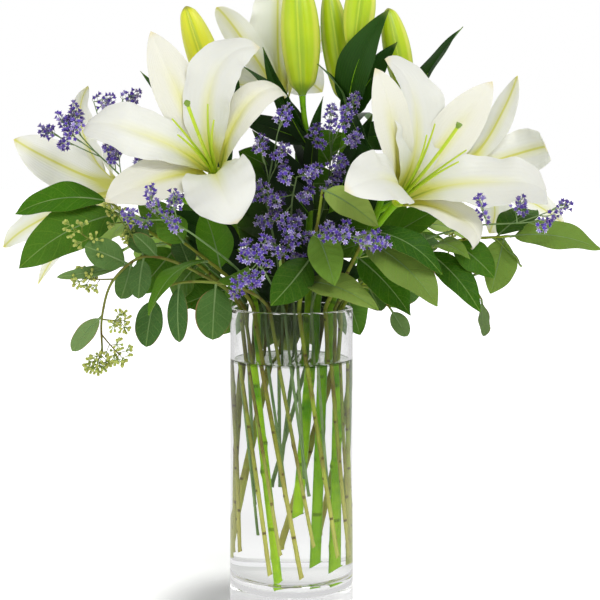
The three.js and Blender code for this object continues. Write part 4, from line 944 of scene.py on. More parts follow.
# Leaves: a blade on a short stalk, with a groove along its middle and low pleats at its side
# veins. Under it runs a rib, to the share ribReach of its length. veinSlant is how much nearer
# the tip a vein ends than it starts, in distances between veins.
leafKinds = dict(
    shallon=dict(rise=0.75, fall=0.95, fold=0.12, stalk=0.05, rows=42, columns=15, veins=7, pleat=0.28,
                 wavy=0.035, rib=1.05, ribReach=0.92),
    round=dict(rise=0.6, fall=0.6, fold=0.04, stalk=0.1, rows=24, columns=13, veins=6, pleat=0.1,
               wavy=0.03, rib=1.05, ribReach=0.92),
    lily=dict(rise=0.55, fall=1.0, fold=0.25, stalk=0.0, rows=40, columns=13, veins=0, pleat=0.0,
              wavy=0.03, rib=0.8, ribReach=0.5),
)
leafMake = dict(thick=0.6, twist=14, drift=0.03, groove=0.5, grooveWidth=1.3, veinSlant=1.3, waves=2.3,
                paler=0.08, ribTip=0.25, ribRings=14, ribSides=6, ribDepth=0.35)


def makeLeaf(growth, start, one, kind, chance, finish=0):
    start, to = np.asarray(start, float), np.array(one["to"], float)
    chord = to - start
    length = np.linalg.norm(chord)
    ahead = chord / length
    normal = unit(np.array(one["face"], float) - ahead * np.dot(one["face"], ahead))
    bow = one["bow"] * length
    s = np.linspace(0, 1, kind["rows"])
    centre = start + np.outer(s, chord) + np.outer(bow * 4 * s * (1 - s), normal)
    way = unit(chord + np.outer(bow * 4 * (1 - 2 * s), normal))
    flat = unit(normal - way * (way @ normal)[:, None])
    side = np.cross(flat, way)
    twist = math.radians(chance.uniform(-leafMake["twist"], leafMake["twist"])) * s
    flat, side = spun(flat, way, twist), spun(side, way, twist)
    drift = length * leafMake["drift"] * chance.uniform(-1, 1) * np.sin(math.pi * s)
    centre = centre + side * drift[:, None]
    inner = np.clip((s - kind["stalk"]) / (1 - kind["stalk"]), 0, 1)
    half = one["width"] / 2 * outline(inner, kind["rise"], kind["fall"])
    t = np.linspace(-1, 1, kind["columns"])[None, :]
    x = half[:, None] * t
    groove = leafMake["groove"] * np.exp(-((x / leafMake["grooveWidth"]) ** 2))
    lift = kind["fold"] * np.abs(x) - groove * np.minimum(1, half[:, None] / 4)
    if kind["veins"]:
        pleat = np.cos(2 * math.pi * (kind["veins"] * inner[:, None] - leafMake["veinSlant"] * np.abs(t)))
        hill = 2.6 * np.abs(t) * (1 - t**2)  # 0 at the middle and the rim, 1 between them
        lift = lift + kind["pleat"] * pleat * hill * np.minimum(1, half[:, None] / 5)
    shift = chance.uniform(0, fullTurn)
    wave = np.sin(2 * math.pi * leafMake["waves"] * s[:, None] + np.where(t < 0, shift, 2.7 * shift))
    lift = lift + kind["wavy"] * one["width"] * np.abs(t) ** 2.4 * wave
    pale = one["pale"] + chance.uniform(-leafMake["paler"], leafMake["paler"])
    if one["pale"] >= 0:
        pale = max(0, pale)
    blade(growth, centre, side, flat, half, lift, leafMake["thick"], finish, chance.random(), pale)
    spots = np.linspace(0, kind["ribReach"], leafMake["ribRings"])
    under = np.column_stack([np.interp(spots, s, centre[:, axis]) for axis in range(3)])
    radii = np.linspace(kind["rib"], leafMake["ribTip"], leafMake["ribRings"])
    under = under - normal * leafMake["ribDepth"]
    rod(growth, under, radii, leafMake["ribSides"], finish + 1, chance.random())


# How leaves look. net is the distance, in millimetres, between the finest veins.
leafLooks = dict(
    shallonLeaf=dict(top=tint(78, 134, 6), deep=tint(24, 66, 4), under=tint(144, 166, 80),
                     vein=tint(120, 156, 50), rim=None, veins=7, net=2.6, gloss=0.42, shine=0.11),
    eucalyptusLeaf=dict(top=tint(76, 118, 38), deep=tint(46, 84, 28), under=tint(116, 142, 84),
                        vein=tint(126, 156, 80), rim=tint(150, 104, 70), veins=6, net=2.2, gloss=0.5,
                        shine=0.24),
)
lilyLeafTints = dict(
    light=tint(42, 80, 14),
    deep=tint(16, 42, 6),
    streak=tint(56, 96, 20),
    patch=tint(30, 66, 26),
    under=tint(110, 150, 78),
    tip=tint(128, 150, 62),
)
# painted shade for a leaf in shadow, where its pale is below 0
paintedShadeLeaf = tint(14, 34, 8)
paintedShadeTints = dict(  # painted shade, for the dark places
    leaf=tint(12, 22, 8),
    lilyLeaf=tint(10, 20, 6),
    stalk=tint(24, 32, 12),
    floret=tint(34, 14, 60),
)


def leafPaint(name):
    look = leafLooks[name]
    paint = Paint(name, Roughness=look["gloss"], Subsurface_Weight=0.05, Subsurface_Scale=0.0015,
                  Specular_IOR_Level=look["shine"])
    along, across, side, seed = (paint.mark(label) for label in ("along", "across", "side", "seed"))
    offset = paint.maths("ABSOLUTE", across)
    topSide = paint.between(side, -0.2, 0.2)
    patch = paint.noise(30)
    top = paint.blend(look["top"], look["deep"], paint.maths("FRACT", seed * 7.3) * 0.8)
    top = paint.blend(top, look["deep"], patch * 0.6)
    share = paint.maths("ABSOLUTE", side) - 1
    # painted shade where pale is below 0
    top = paint.blend(paint.blend(top, look["under"], share), paintedShadeLeaf, share * -1.2)
    below = paint.blend(look["under"], look["top"], paint.maths("FRACT", seed * 3.1) * 0.5)
    shade = paint.blend(below, top, topSide)
    wave = along * look["veins"] - offset * leafMake["veinSlant"]
    line = paint.maths("ABSOLUTE", paint.maths("FRACT", wave + patch * 0.12) - 0.5) * 2
    lateral = paint.between(line, 0.86, 0.99) * (1 - paint.between(offset, 0.8, 1.0))
    middle = 1 - paint.between(offset * paint.mark("reach"), 0.25, 0.85)
    inputs = {"Vector": paint.place(), "Scale": 1 / look["net"] / mm}
    cells = paint.node("ShaderNodeTexVoronoi", {"feature": "DISTANCE_TO_EDGE"}, inputs)
    net = 1 - paint.between(cells, 0.0, 0.12)
    fine = paint.maths("MAXIMUM", lateral * 0.26, net * 0.12)
    shade = paint.blend(shade, look["vein"], paint.maths("MAXIMUM", middle * 0.5, fine))
    if look["rim"]:
        edge = paint.between(offset, 0.9, 1.0) * paint.between(paint.noise(24, 1), 0.45, 0.6)
        shade = paint.blend(shade, look["rim"], edge * 0.8)
    # painted shade where little light comes
    paint.use("Base Color", paint.blend(shade, paintedShadeTints["leaf"], paint.paintedShade() * 0.88))
    paint.use("Roughness", look["gloss"] + 0.18 * (1 - topSide) + 0.1 * patch)
    paint.bump(0 - lateral * 0.8 - net * 0.4 - middle * 0.5, 0.5, 0.35)
    return paint


def makeLilyLeafPaint():
    paint = Paint("lilyLeaf", Roughness=0.32, Subsurface_Weight=0.05, Subsurface_Scale=0.0015,
                  Specular_IOR_Level=0.13)
    along, across, side, seed = (paint.mark(label) for label in ("along", "across", "side", "seed"))
    streak = paint.maths("SINE", across * 46 + seed * 20)
    patch = paint.noise(22, 2)
    shade = paint.blend(lilyLeafTints["light"], lilyLeafTints["deep"], paint.maths("FRACT", seed * 5.7))
    shade = paint.blend(shade, lilyLeafTints["streak"], paint.between(streak, 0.2, 1.0) * 0.3)
    shade = paint.blend(shade, lilyLeafTints["patch"], patch * 0.4)
    shade = paint.blend(lilyLeafTints["under"], shade, 0.4 + 0.6 * paint.between(side, -0.2, 0.2))
    shade = paint.blend(shade, lilyLeafTints["tip"], paint.between(along, 0.9, 1.0) * 0.5)
    # painted shade where little light comes
    paint.use("Base Color", paint.blend(shade, paintedShadeTints["lilyLeaf"], paint.paintedShade() * 0.85))
    paint.use("Roughness", 0.28 + 0.15 * patch)
    paint.bump(streak, 0.25, 0.25)
    return paint


# How stems look. Their scars are where stemKinds has the joints of that kind. yellow is how much
# they turn paler and yellower towards the vase's foot.
stalkLooks = dict(
    lilyStem=dict(kind="lily", fresh=tint(160, 210, 32), dark=tint(86, 152, 16), ring=tint(64, 84, 26),
                  gloss=0.35, scar=0.6, yellow=0.12),
    woodyStem=dict(kind="shallon", fresh=tint(140, 160, 50), dark=tint(106, 98, 40), ring=tint(72, 52, 30),
                   gloss=0.6, scar=0.85, yellow=0.5),
    oliveTwig=dict(kind="eucalyptus", fresh=tint(126, 146, 60), dark=tint(104, 88, 42), ring=tint(84, 58, 38),
                   gloss=0.5, scar=0.7, yellow=0.45),
    greyStalk=dict(kind="lavender", fresh=tint(136, 160, 104), dark=tint(98, 128, 76),
                   ring=tint(120, 134, 84), gloss=0.55, scar=0.5, yellow=0.0),
)
lowStems = dict(centre=(0, 0, 0.02), size=(0.3, 0.3, 0.13))
lowStemTint = tint(206, 204, 112)


def stalkPaint(name):
    look = stalkLooks[name]
    paint = Paint(name, Roughness=look["gloss"], Specular_IOR_Level=0.1)
    along, across, seed = paint.mark("along"), paint.mark("across"), paint.mark("seed")
    shade = paint.blend(look["fresh"], look["dark"], paint.between(paint.noise(55), 0.35, 0.75))
    shade = paint.blend(shade, look["dark"], paint.maths("FRACT", seed * 4.1) * 0.6)
    low = 1 - paint.between(paint.apart(**lowStems), 0.35, 1.0)
    shade = paint.blend(shade, lowStemTint, low * look["yellow"])
    joints = along / stemKinds[look["kind"]]["joint"]
    near = paint.maths("ABSOLUTE", paint.maths("FRACT", joints + 0.5) - 0.5)
    turns = paint.maths("ROUND", joints) * stemMake["scarTurn"]
    side = paint.between(paint.maths("COSINE", across * (2 * math.pi) - turns), 0.35, 0.8)
    shade = paint.blend(shade, look["ring"], (1 - paint.between(near, 0.03, 0.09)) * side * look["scar"])
    # painted shade where little light comes
    paint.use("Base Color", paint.blend(shade, paintedShadeTints["stalk"], paint.paintedShade() * 0.6))
    paint.bump(paint.noise(260) + paint.maths("SINE", across * 60) * 0.3, 0.35, 0.3)
    return paint


# A branch: its stem, whose paint has the number finish among the piece's paints, and its leaves,
# which have the first two.
def growBranch(growth, stem, stemKind, leafKind, chance, finish):
    stemRod(growth, stem, stemKinds[stemKind], chance, finish)
    for one in stem["leaves"]:
        makeLeaf(growth, upper(stem, one["at"])[0], one, leafKinds[leafKind], chance)


greyStalkPaint = stalkPaint("greyStalk")
print("leaves ready")


# Lily stems. buds and blooms name what they carry, and the place where its stalk leaves.
lilyStems = {
    "left": dict(
        rim=(-30, -6),
        foot=20,
        way=[(-40, -2, 275), (-47, 6, 305), (-54, 14, 340), (-57, 18, 372)],
        buds=[(1, "left")],
        blooms=[(0.5, "left"), (0.62, "far_left")],
        leaves=[
            leaf(0.95, (-126, 6, 438), (-0.6, -0.6, 0.5), 13, 0.05),
            leaf(0.98, (-46, 2, 440), (0.4, -0.9, 0.2), 15, 0.05),
            leaf(0.7, (-100, 70, 372), (-0.2, 0.3, 0.9), 20, 0.15),
            leaf(0.35, (-104, -26, 322), (-0.1, -0.9, 0.3), 30, 0.06),
            leaf(0.2, (-86, -42, 302), (-0.1, -0.9, 0.4), 26, 0.04),
            leaf(0.15, (-18, 6, 246), (0.2, -0.9, 0.4), 26, 0.05),
            leaf(0.85, (-66, 96, 420), (0, -0.3, 0.9), 20, 0.15),
        ],
    ),
    "centre": dict(
        rim=(14, 8),
        foot=67,
        way=[(14, 9, 290), (16, 6, 345), (14, 2, 385)],
        buds=[(1, "centre")],
        blooms=[(0.85, "top")],
        leaves=[
            leaf(0.9, (-24, 5, 458), (-0.6, -0.7, 0.3), 16, 0.06),
            leaf(0.98, (-42, 2, 443), (0.3, -0.6, 0.8), 15, 0.06),
            leaf(0.95, (-48, 43, 403), (0.3, -0.9, 0), 20, 0.05),
            leaf(0.65, (26, -10, 416), (-0.4, -0.9, 0.2), 14, 0.05),
            leaf(0.6, (-32, -20, 388), (-0.3, -0.8, 0.4), 22, 0.1),
            leaf(0.5, (-26, -30, 362), (-0.3, -0.8, 0.5), 22, 0.1),
            leaf(0.3, (-24, -26, 322), (-0.2, -0.9, 0.4), 24, 0.1),
            leaf(0.08, (-2, -2, 312), (0, -1, 0.2), 24, 0.04),
            leaf(0.7, (-8, 84, 402), (0, -0.5, 0.8), 20, 0.12),
        ],
    ),
    "inner_right": dict(
        rim=(21, -4),
        foot=26,
        way=[(28, -2, 290), (37, -2, 340), (45, -2, 390), (48, -4, 412)],
        buds=[(0.8, "inner_right"), (1, "outer_right")],
        blooms=[],
        leaves=[
            leaf(0.96, (78, -36, 484), (-0.3, -0.9, 0.3), 32, 0.16),
            leaf(0.9, (21, -18, 442), (0.2, -0.3, 0.9), 12, 0.08),
            leaf(0.94, (68, -34, 366), (-0.6, -0.8, -0.2), 22, 0.08),
            leaf(0.84, (66, 8, 430), (-0.4, -0.9, 0.1), 24, 0.04),
            leaf(0.4, (67, -6, 402), (-0.3, -0.9, 0.1), 22, 0.05),
            leaf(0.3, (52, -34, 322), (-0.2, -0.9, 0.4), 22, 0.1),
            leaf(0.1, (32, -22, 300), (0.1, -1, 0.2), 24, 0.04),
            leaf(0.15, (60, -18, 271), (-0.3, -0.9, 0.3), 26, 0.05),
            leaf(0.85, (86, -19, 460), (-0.3, -0.9, 0.3), 25, 0.05),
            leaf(0.75, (72, 92, 396), (0, -0.5, 0.8), 20, 0.12),
        ],
    ),
    "right": dict(
        rim=(32, -10),
        foot=20,
        way=[(48, -9, 275), (62, -6, 300), (74, -2, 330), (86, 2, 372), (92, 4, 396)],
        buds=[(1, "right")],
        blooms=[(0.3, "right"), (0.55, "far_right")],
        leaves=[
            leaf(0.97, (143, 6, 475), (-0.4, -0.5, 0.8), 24, 0.05),
            leaf(0.9, (84, -12, 428), (-0.6, -0.8, 0.1), 12, 0.05),
            leaf(0.75, (120, 84, 396), (0, -0.4, 0.9), 20, 0.12),
            leaf(0.85, (52, 41, 385), (0, -0.9, 0.2), 26, 0.05),
            leaf(0.5, (60, 84, 352), (-0.3, 0.3, 0.9), 22, 0.15),
        ],
    ),
}


stalkMake = dict(bud=2.3, bloom=2.6, reach=22, flare=0.25, rings=24, sides=14)


# The stalk of a bud or bloom, from a place on the stem to end, where it runs along way.
def stalk(growth, start, end, way, radius):
    arc = quadratic(start, end - way * stalkMake["reach"], end, stalkMake["rings"])
    flare = radius * (1 + stalkMake["flare"] * np.linspace(0, 1, stalkMake["rings"]) ** 6)
    rod(growth, arc, flare, stalkMake["sides"], finish=1, seed=0.4)


def makeLilyStem(name, stem, paints):
    chance = random.Random("lily" + name)
    growth = Growth()
    growBranch(growth, stem, "lily", "lily", chance, 1)
    for at, bud in stem["buds"]:
        start, end = np.array(buds[bud]["start"], float), np.array(buds[bud]["end"], float)
        way = unit(end - start)
        stalk(growth, upper(stem, at)[0], start - way * heart["seat"], way, stalkMake["bud"])
    for at, bloom in stem["blooms"]:
        w = axesOf(blooms[bloom])[0]
        end = np.array(blooms[bloom]["at"], float) - w * (cup["back"] + heart["seat"])
        stalk(growth, upper(stem, at)[0], end, w, stalkMake["bloom"])
    growth.piece("lilyStem_" + name, "lily_stem_" + name, paints)


lilyStemPaints = [makeLilyLeafPaint(), stalkPaint("lilyStem")]
for name, stem in lilyStems.items():
    makeLilyStem(name, stem, lilyStemPaints)
print("lily stems made")


# Shallon: broad pointed leaves on thin woody branches.
shallonStems = {
    "left": dict(
        rim=(-42, -6),
        foot=30,
        way=[(-80, -20, 282), (-118, -32, 308), (-146, -36, 330)],
        leaves=[
            leaf(1, (-221, -40, 320), (-0.1, -0.7, 0.7), 31, 0.12, 0),
            leaf(0.86, (-214, -60, 278), (-0.2, -0.85, 0.5), 44, 0.12, 0),
            leaf(0.75, (-158, 26, 290), (-0.3, 0.3, 0.9), 32, 0.1),
            leaf(0.5, (-128, 22, 276), (-0.3, 0.2, 0.9), 32, 0.1),
            leaf(0.3, (-98, -2, 250), (-0.2, -0.7, 0.6), 32, 0.08),
            leaf(0.12, (-88, -22, 246), (0, -0.9, 0.4), 30, 0.03),
            leaf(0.45, (-124, -32, 256), (-0.2, -0.9, 0.4), 36, 0.03, 0),
        ],
    ),
    "right": dict(
        rim=(41, -11),
        foot=24,
        way=[(84, -24, 280), (130, -34, 298), (176, -30, 302)],
        leaves=[
            leaf(1, (248, -40, 292), (0.1, -0.7, 0.7), 34, 0.12, 0.4),
            leaf(0.97, (159, -44, 257), (0.3, -0.9, 0.2), 32, -0.06, 0.5),
            leaf(0.9, (188, -14, 276), (0.2, -0.4, 0.9), 26, 0.05),
            leaf(0.92, (204, 4, 322), (0, -0.6, 0.8), 28, 0.1, 0),
            leaf(0.66, (161, -48, 270), (0.1, -0.8, 0.6), 28, 0.06, 0),
            leaf(0.5, (148, -62, 244), (0.3, -0.8, 0.5), 26, 0.1, 0),
            leaf(0.55, (137, -84, 287), (-0.2, -0.7, 0.7), 18, 0.14, 0.5),
        ],
    ),
    "front_right": dict(
        rim=(27, -32),
        foot=34,
        way=[(42, -50, 270), (52, -66, 292), (58, -76, 308)],
        leaves=[
            leaf(1, (114, -96, 276), (0.1, -0.6, 0.8), 26, 0.16, 0),
            leaf(0.85, (110, -104, 253), (0.2, -0.8, 0.6), 40, 0.1, 0.45),
            leaf(0.6, (92, -78, 243), (0.2, -0.8, 0.5), 34, 0.08, 0),
        ],
    ),
    "front": dict(
        rim=(6, -42),
        foot=40,
        way=[(14, -58, 280), (20, -66, 312), (24, -72, 340)],
        leaves=[
            leaf(1, (66, -92, 312), (0, -0.8, 0.6), 26, 0.12, 0.85),
            leaf(0.62, (33, -92, 267), (0, -1, 0.2), 27, 0.05, 0.35),
            leaf(0.2, (66, -94, 249), (0, -0.7, 0.7), 28, 0.16, 0.65),
            # painted shade: this leaf lies in shadow
            leaf(0.4, (-16, -72, 250), (0, -1, 0.3), 30, 0.06, -0.35),
        ],
    ),
    "front_left": dict(
        rim=(-30, -29),
        foot=28,
        way=[(-46, -46, 266), (-66, -56, 284), (-84, -60, 298)],
        leaves=[
            leaf(0.66, (-107, -106, 246), (-0.3, -0.3, 0.9), 26, 0.16, 0.15),
            leaf(0.5, (-70, -44, 324), (0.2, -0.95, 0.2), 30, 0.05),
            leaf(0.4, (-36, -92, 266), (0.1, -0.9, 0.4), 26, 0.1),
            leaf(1, (-106, -50, 318), (-0.1, -0.9, 0.5), 26, 0.05),
        ],
    ),
    "back_right": dict(
        rim=(30, 29),
        foot=36,
        way=[(58, 56, 280), (88, 82, 300), (112, 98, 306)],
        leaves=[
            leaf(1, (172, 128, 288), (0.2, 0.5, 0.9), 34, 0.12),
            leaf(0.85, (128, 150, 268), (0.1, 0.8, 0.5), 38, 0.1),
            leaf(0.7, (158, 78, 276), (0.5, 0, 0.9), 32, 0.1),
            leaf(0.7, (28, 66, 281), (0, -0.9, 0.1), 24, 0.05),
            leaf(0.45, (98, 62, 338), (0, -0.9, 0.4), 34, 0.06),
            leaf(0.35, (136, 20, 330), (-0.2, -0.8, 0.5), 30, 0.04),
            leaf(0.5, (66, 132, 262), (0, 0.8, 0.6), 36, 0.1),
            leaf(0.3, (96, 50, 236), (0.2, -0.9, 0.3), 34, 0.05),
            leaf(0.15, (60, 60, 212), (0.1, -0.9, 0.2), 30, 0.04),
        ],
    ),
    "back": dict(
        rim=(-4, 42),
        foot=30,
        way=[(-8, 58, 286), (-6, 64, 326), (2, 66, 358)],
        leaves=[
            leaf(1, (46, 60, 388), (0, -0.9, 0.4), 34, 0.06),
            leaf(0.85, (-46, 56, 372), (-0.1, -0.9, 0.4), 36, 0.06),
            leaf(0.8, (46, 60, 344), (0.1, -0.9, 0.4), 36, 0.06),
            leaf(0.6, (-16, 150, 318), (0, 0.6, 0.8), 36, 0.12),
            leaf(0.55, (-52, 52, 312), (-0.1, -0.9, 0.4), 36, 0.08),
            leaf(0.45, (68, 42, 306), (0.1, -0.9, 0.4), 36, 0.06),
            leaf(0.3, (-10, 140, 262), (0, 0.6, 0.8), 36, 0.12),
            leaf(0.3, (-46, 46, 280), (0, -1, 0.2), 30, 0.04),
            leaf(0.35, (-62, 46, 313), (-0.3, -0.9, 0.3), 27, 0.05),
            leaf(0.6, (43, 73, 321), (-0.3, -0.9, 0), 31, 0.05),
            leaf(0.35, (-33, 50, 357), (0, -0.9, 0.2), 34, 0.05),
            leaf(0.2, (38, 64, 254), (0, -1, 0.2), 32, 0.04),
            leaf(0.1, (52, 66, 222), (0, -1, -0.2), 30, -0.03),
            leaf(0.15, (-40, 33, 265), (0, -1, 0.1), 24, 0.03),
            leaf(0.12, (24, 72, 200), (0, 1, 0.2), 38, 0.06),
            leaf(0.08, (-30, 68, 198), (0, 1, 0.2), 38, 0.06),
            leaf(0.14, (-4, 76, 188), (0, 1, 0.1), 34, 0.06),
        ],
    ),
    "back_left": dict(
        rim=(-32, 27),
        foot=42,
        way=[(-62, 52, 278), (-92, 76, 298), (-116, 90, 306)],
        leaves=[
            leaf(1, (-178, 112, 290), (-0.2, 0.5, 0.9), 34, 0.12),
            leaf(0.85, (-142, 140, 264), (-0.1, 0.8, 0.5), 36, 0.1),
            leaf(0.7, (-164, 62, 272), (-0.5, 0, 0.9), 32, 0.1),
            leaf(0.55, (-138, 82, 330), (-0.4, -0.9, 0.1), 31, 0.05),
            leaf(0.65, (-79, 65, 335), (-0.2, -0.9, 0), 29, 0.05),
            leaf(0.5, (-84, 126, 254), (0, 0.8, 0.6), 34, 0.1),
            leaf(0.35, (-98, 50, 234), (-0.2, -0.9, 0.3), 36, 0.05),
            leaf(0.15, (-62, 56, 212), (-0.1, -0.9, 0.2), 32, 0.04),
        ],
    ),
}


def makeShallon(name, stem, paints):
    growth = Growth()
    growBranch(growth, stem, "shallon", "shallon", random.Random("shallon" + name), 2)
    growth.piece("shallon." + name, "shallon_" + name, paints)


shallonPaints = [leafPaint("shallonLeaf"), greyStalkPaint, stalkPaint("woodyStem")]
for name, stem in shallonStems.items():
    makeShallon(name, stem, shallonPaints)
print("shallon made")


# Seeded eucalyptus: round leaves, and tufts of small club-shaped seed cases on short stalks. A
# case's profile has radii in millimetres and heights as shares of its length. slopes are angles
# between a case and its tuft's twig.
seedMake = dict(
    length=8.5, sides=7, perCluster=7, jitter=15, slopes=(18, 74), sizes=(0.62, 0.92),
    profile=[(0.33, 0), (0.3, 0.52), (0.62, 0.6), (1.05, 0.72), (1.2, 0.86), (1.02, 0.94), (0.66, 0.95),
             (0.3, 1)]
)
tuftMake = dict(rings=18, radius=0.7, tip=0.35, sides=6, sag=0.04, spread=0.72, reach=(3.5, 6.5),
                lean=(0.5, 0.9), endReach=1.5, endLean=(1.2, 0.15), twig=(0.35, 0.28), twigSides=5)
seedTints = dict(
    low=tint(134, 164, 66),
    high=tint(192, 204, 96),
    brown=tint(170, 160, 72),
    rim=tint(120, 104, 62),
    cloud=tint(110, 130, 66),
)


def tuft(at, to, count):
    return dict(at=at, to=to, count=count)


eucalyptusStems = {
    "left": dict(
        rim=(-38, -17),
        foot=46,
        way=[(-72, -40, 272), (-112, -65, 288), (-137, -76, 271), (-146, -78, 243), (-146, -78, 214)],
        leaves=[
            leaf(0.5, (-158, -88, 297), (-0.1, -0.95, 0.3), 24, 0.03, 0.2),
            leaf(0.42, (-128, -50, 316), (0, -0.95, 0.3), 20, 0.03),
            leaf(0.36, (-122, -76, 306), (-0.2, -0.9, 0.4), 13, 0.05),
            leaf(0.42, (-118, -78, 256), (0, -1, 0.1), 18, 0.03),
            leaf(0.48, (-134, -58, 254), (0, -1, 0.1), 18, 0.03),
            leaf(0.8, (-169, -80, 216), (-0.2, -0.9, 0.3), 15, 0.04, 0.7),
            leaf(0.24, (-92, -22, 300), (0.2, -0.9, 0.4), 20, 0.03),
            leaf(0.5, (-180, -84, 273), (0, -0.9, 0.3), 9, 0.03, 0.6),
        ],
        tufts=[
            tuft(0.97, (-150, -78, 205), 5),
            tuft(0.9, (-131, -82, 212), 4),
            tuft(0.82, (-130, -84, 240), 3),
            tuft(0.6, (-163, -80, 272), 4),
            tuft(0.4, (-140, -66, 326), 4),
            tuft(0.5, (-168, -86, 312), 4),
        ],
    ),
    "front_left": dict(
        rim=(-17, -38),
        foot=52,
        way=[(-38, -60, 262), (-64, -68, 268), (-90, -70, 267), (-106, -74, 258)],
        leaves=[
            leaf(1, (-112, -80, 219), (-0.1, -1, 0.1), 22, 0.03, 0),
            leaf(0.72, (-86, -84, 223), (0, -1, 0.1), 16, 0.03, 0),
            leaf(0.45, (-61, -76, 224), (0, -1, 0.1), 29, 0.03, 0.1),
        ],
        tufts=[],
    ),
    "right": dict(
        rim=(35, -23),
        foot=44,
        way=[(54, -42, 262), (68, -54, 258), (78, -64, 246)],
        leaves=[
            leaf(1, (90, -70, 226), (0.1, -1, 0.1), 14, 0.03, 0.5),
            leaf(0.75, (102, -60, 262), (0.1, -0.9, 0.3), 20, 0.03, 0.1),
            leaf(0.5, (70, -70, 246), (0, -1, 0.2), 18, 0.03, 0.1),
        ],
        tufts=[],
    ),
    "back_right": dict(
        rim=(40, 12),
        foot=48,
        way=[(76, 24, 272), (116, 36, 282), (148, 42, 268), (164, 44, 244)],
        leaves=[
            leaf(1, (166, 48, 212), (0.9, 0.2, 0.3), 22, 0.03),
            leaf(0.8, (184, 30, 272), (0.6, -0.3, 0.7), 24, 0.03),
            leaf(0.75, (150, 76, 252), (0.5, 0.5, 0.7), 24, 0.03),
            leaf(0.55, (132, 8, 262), (0.2, -0.6, 0.7), 22, 0.03),
            leaf(0.5, (116, 60, 300), (0, 0.5, 0.9), 22, 0.03),
        ],
        tufts=[
            tuft(0.62, (150, 92, 322), 5),
        ],
    ),
    "back_left": dict(
        rim=(-20, 37),
        foot=38,
        way=[(-40, 72, 270), (-60, 106, 282), (-74, 136, 270), (-78, 150, 246)],
        leaves=[
            leaf(1, (-78, 156, 216), (-0.1, 0.9, 0.3), 24, 0.03),
            leaf(0.8, (-106, 156, 262), (-0.4, 0.7, 0.6), 24, 0.03),
            leaf(0.8, (-44, 160, 258), (0.3, 0.7, 0.6), 24, 0.03),
            leaf(0.5, (-100, 112, 296), (-0.4, 0.4, 0.8), 24, 0.03),
        ],
        tufts=[tuft(0.98, (-96, 164, 236), 4)],
    ),
}


def makeSeedPaint():
    paint = Paint("seedCase", Roughness=0.5)
    along, chance = paint.mark("along"), paint.mark("seed")
    shade = paint.blend(seedTints["low"], seedTints["high"], paint.between(along, 0.4, 0.9))
    shade = paint.blend(shade, seedTints["brown"], chance * 0.5)
    shade = paint.blend(shade, seedTints["rim"], paint.between(along, 0.93, 1.0) * 0.6)
    paint.use("Base Color", paint.blend(shade, seedTints["cloud"], paint.noise(300, 2) * 0.4))
    paint.bump(paint.noise(700, 2), 0.3, 0.2)
    return paint


def putSeedCase(growth, root, way, size, chance):
    profile = np.array(seedMake["profile"]) * (1, seedMake["length"] * size)
    turned(growth, root, way, profile, seedMake["sides"], 3, chance.random())


def makeCluster(growth, root, way, chance):
    across = squareTo(way, (0.3, 0.5, 0.8))
    jitter = seedMake["jitter"]
    for i in range(seedMake["perCluster"]):
        out = spun(across, way, math.radians(goldenTurn * i + chance.uniform(-jitter, jitter)))
        slope = math.radians(chance.uniform(*seedMake["slopes"]))
        lead = way * math.cos(slope) + out * math.sin(slope)
        putSeedCase(growth, root, lead, chance.uniform(*seedMake["sizes"]), chance)


def makeTuft(growth, start, one, chance):
    to = np.array(one["to"], float)
    chord = to - start
    way = unit(chord)
    across = squareTo(way, (0.2, 0.4, 0.9))
    sag = np.array([0, 0, -1.0]) * np.linalg.norm(chord) * tuftMake["sag"]
    rings = tuftMake["rings"]
    points = quadratic(start, (start + to) / 2 + sag, to, rings)
    rod(growth, points, np.linspace(tuftMake["radius"], tuftMake["tip"], rings), tuftMake["sides"], 2, 0.6)
    count = one["count"] * 2 - 1
    for i in range(count):
        spot = points[int(round((rings - 1) * (1 - tuftMake["spread"] * i / count)))]
        out = spun(across, way, math.radians(goldenTurn * i))
        ahead, aside = tuftMake["lean" if i else "endLean"]
        lead = unit(way * ahead + out * aside)
        root = spot + lead * (chance.uniform(*tuftMake["reach"]) if i else tuftMake["endReach"])
        rod(growth, [spot, root], tuftMake["twig"], tuftMake["twigSides"], 2, 0.6)
        makeCluster(growth, root, lead, chance)


def makeEucalyptus(name, stem, paints):
    chance = random.Random("eucalyptus" + name)
    growth = Growth()
    growBranch(growth, stem, "eucalyptus", "round", chance, 2)
    for one in stem["tufts"]:
        makeTuft(growth, upper(stem, one["at"])[0], one, chance)
    growth.piece("eucalyptus." + name, "eucalyptus_" + name, paints)


eucalyptusPaints = [leafPaint("eucalyptusLeaf"), greyStalkPaint, stalkPaint("oliveTwig"), makeSeedPaint()]
for name, stem in eucalyptusStems.items():
    makeEucalyptus(name, stem, eucalyptusPaints)
print("eucalyptus made")


# Sea lavender: thin forked stalks that end in heads of small papery florets. No floret comes
# further to the front than front, and forks that start beyond turnBack grow to the back. core,
# filled and branch are shares of a head's length: its core, the part with florets, and how much
# nearer the base a floret's own stalk starts.
floret = dict(length=5.0, radius=2.8, sizes=(0.7, 1.0), sink=1.2, stalk=0.22, front=-119)
headMake = dict(width=13, florets=11, twig=0.55, twigTip=0.4, core=0.85, coreTip=0.25, filled=0.9,
                branch=0.12, rings=8, sides=5, sway=2, turnBack=-100, forks=((-1, 4), (1, 6)),
                angles=(38, 62), gap=(8, 11), length=(0.45, 0.7), smaller=0.75)
floretTints = dict(
    dark=tint(42, 18, 98),
    light=tint(84, 52, 184),
    faded=tint(142, 120, 210),
    cloud=tint(56, 32, 96),
    foot=tint(150, 158, 130),
    rim=tint(236, 230, 246),
)


def head(at, start, end, width=headMake["width"]):
    return dict(at=at, start=start, end=end, width=width)


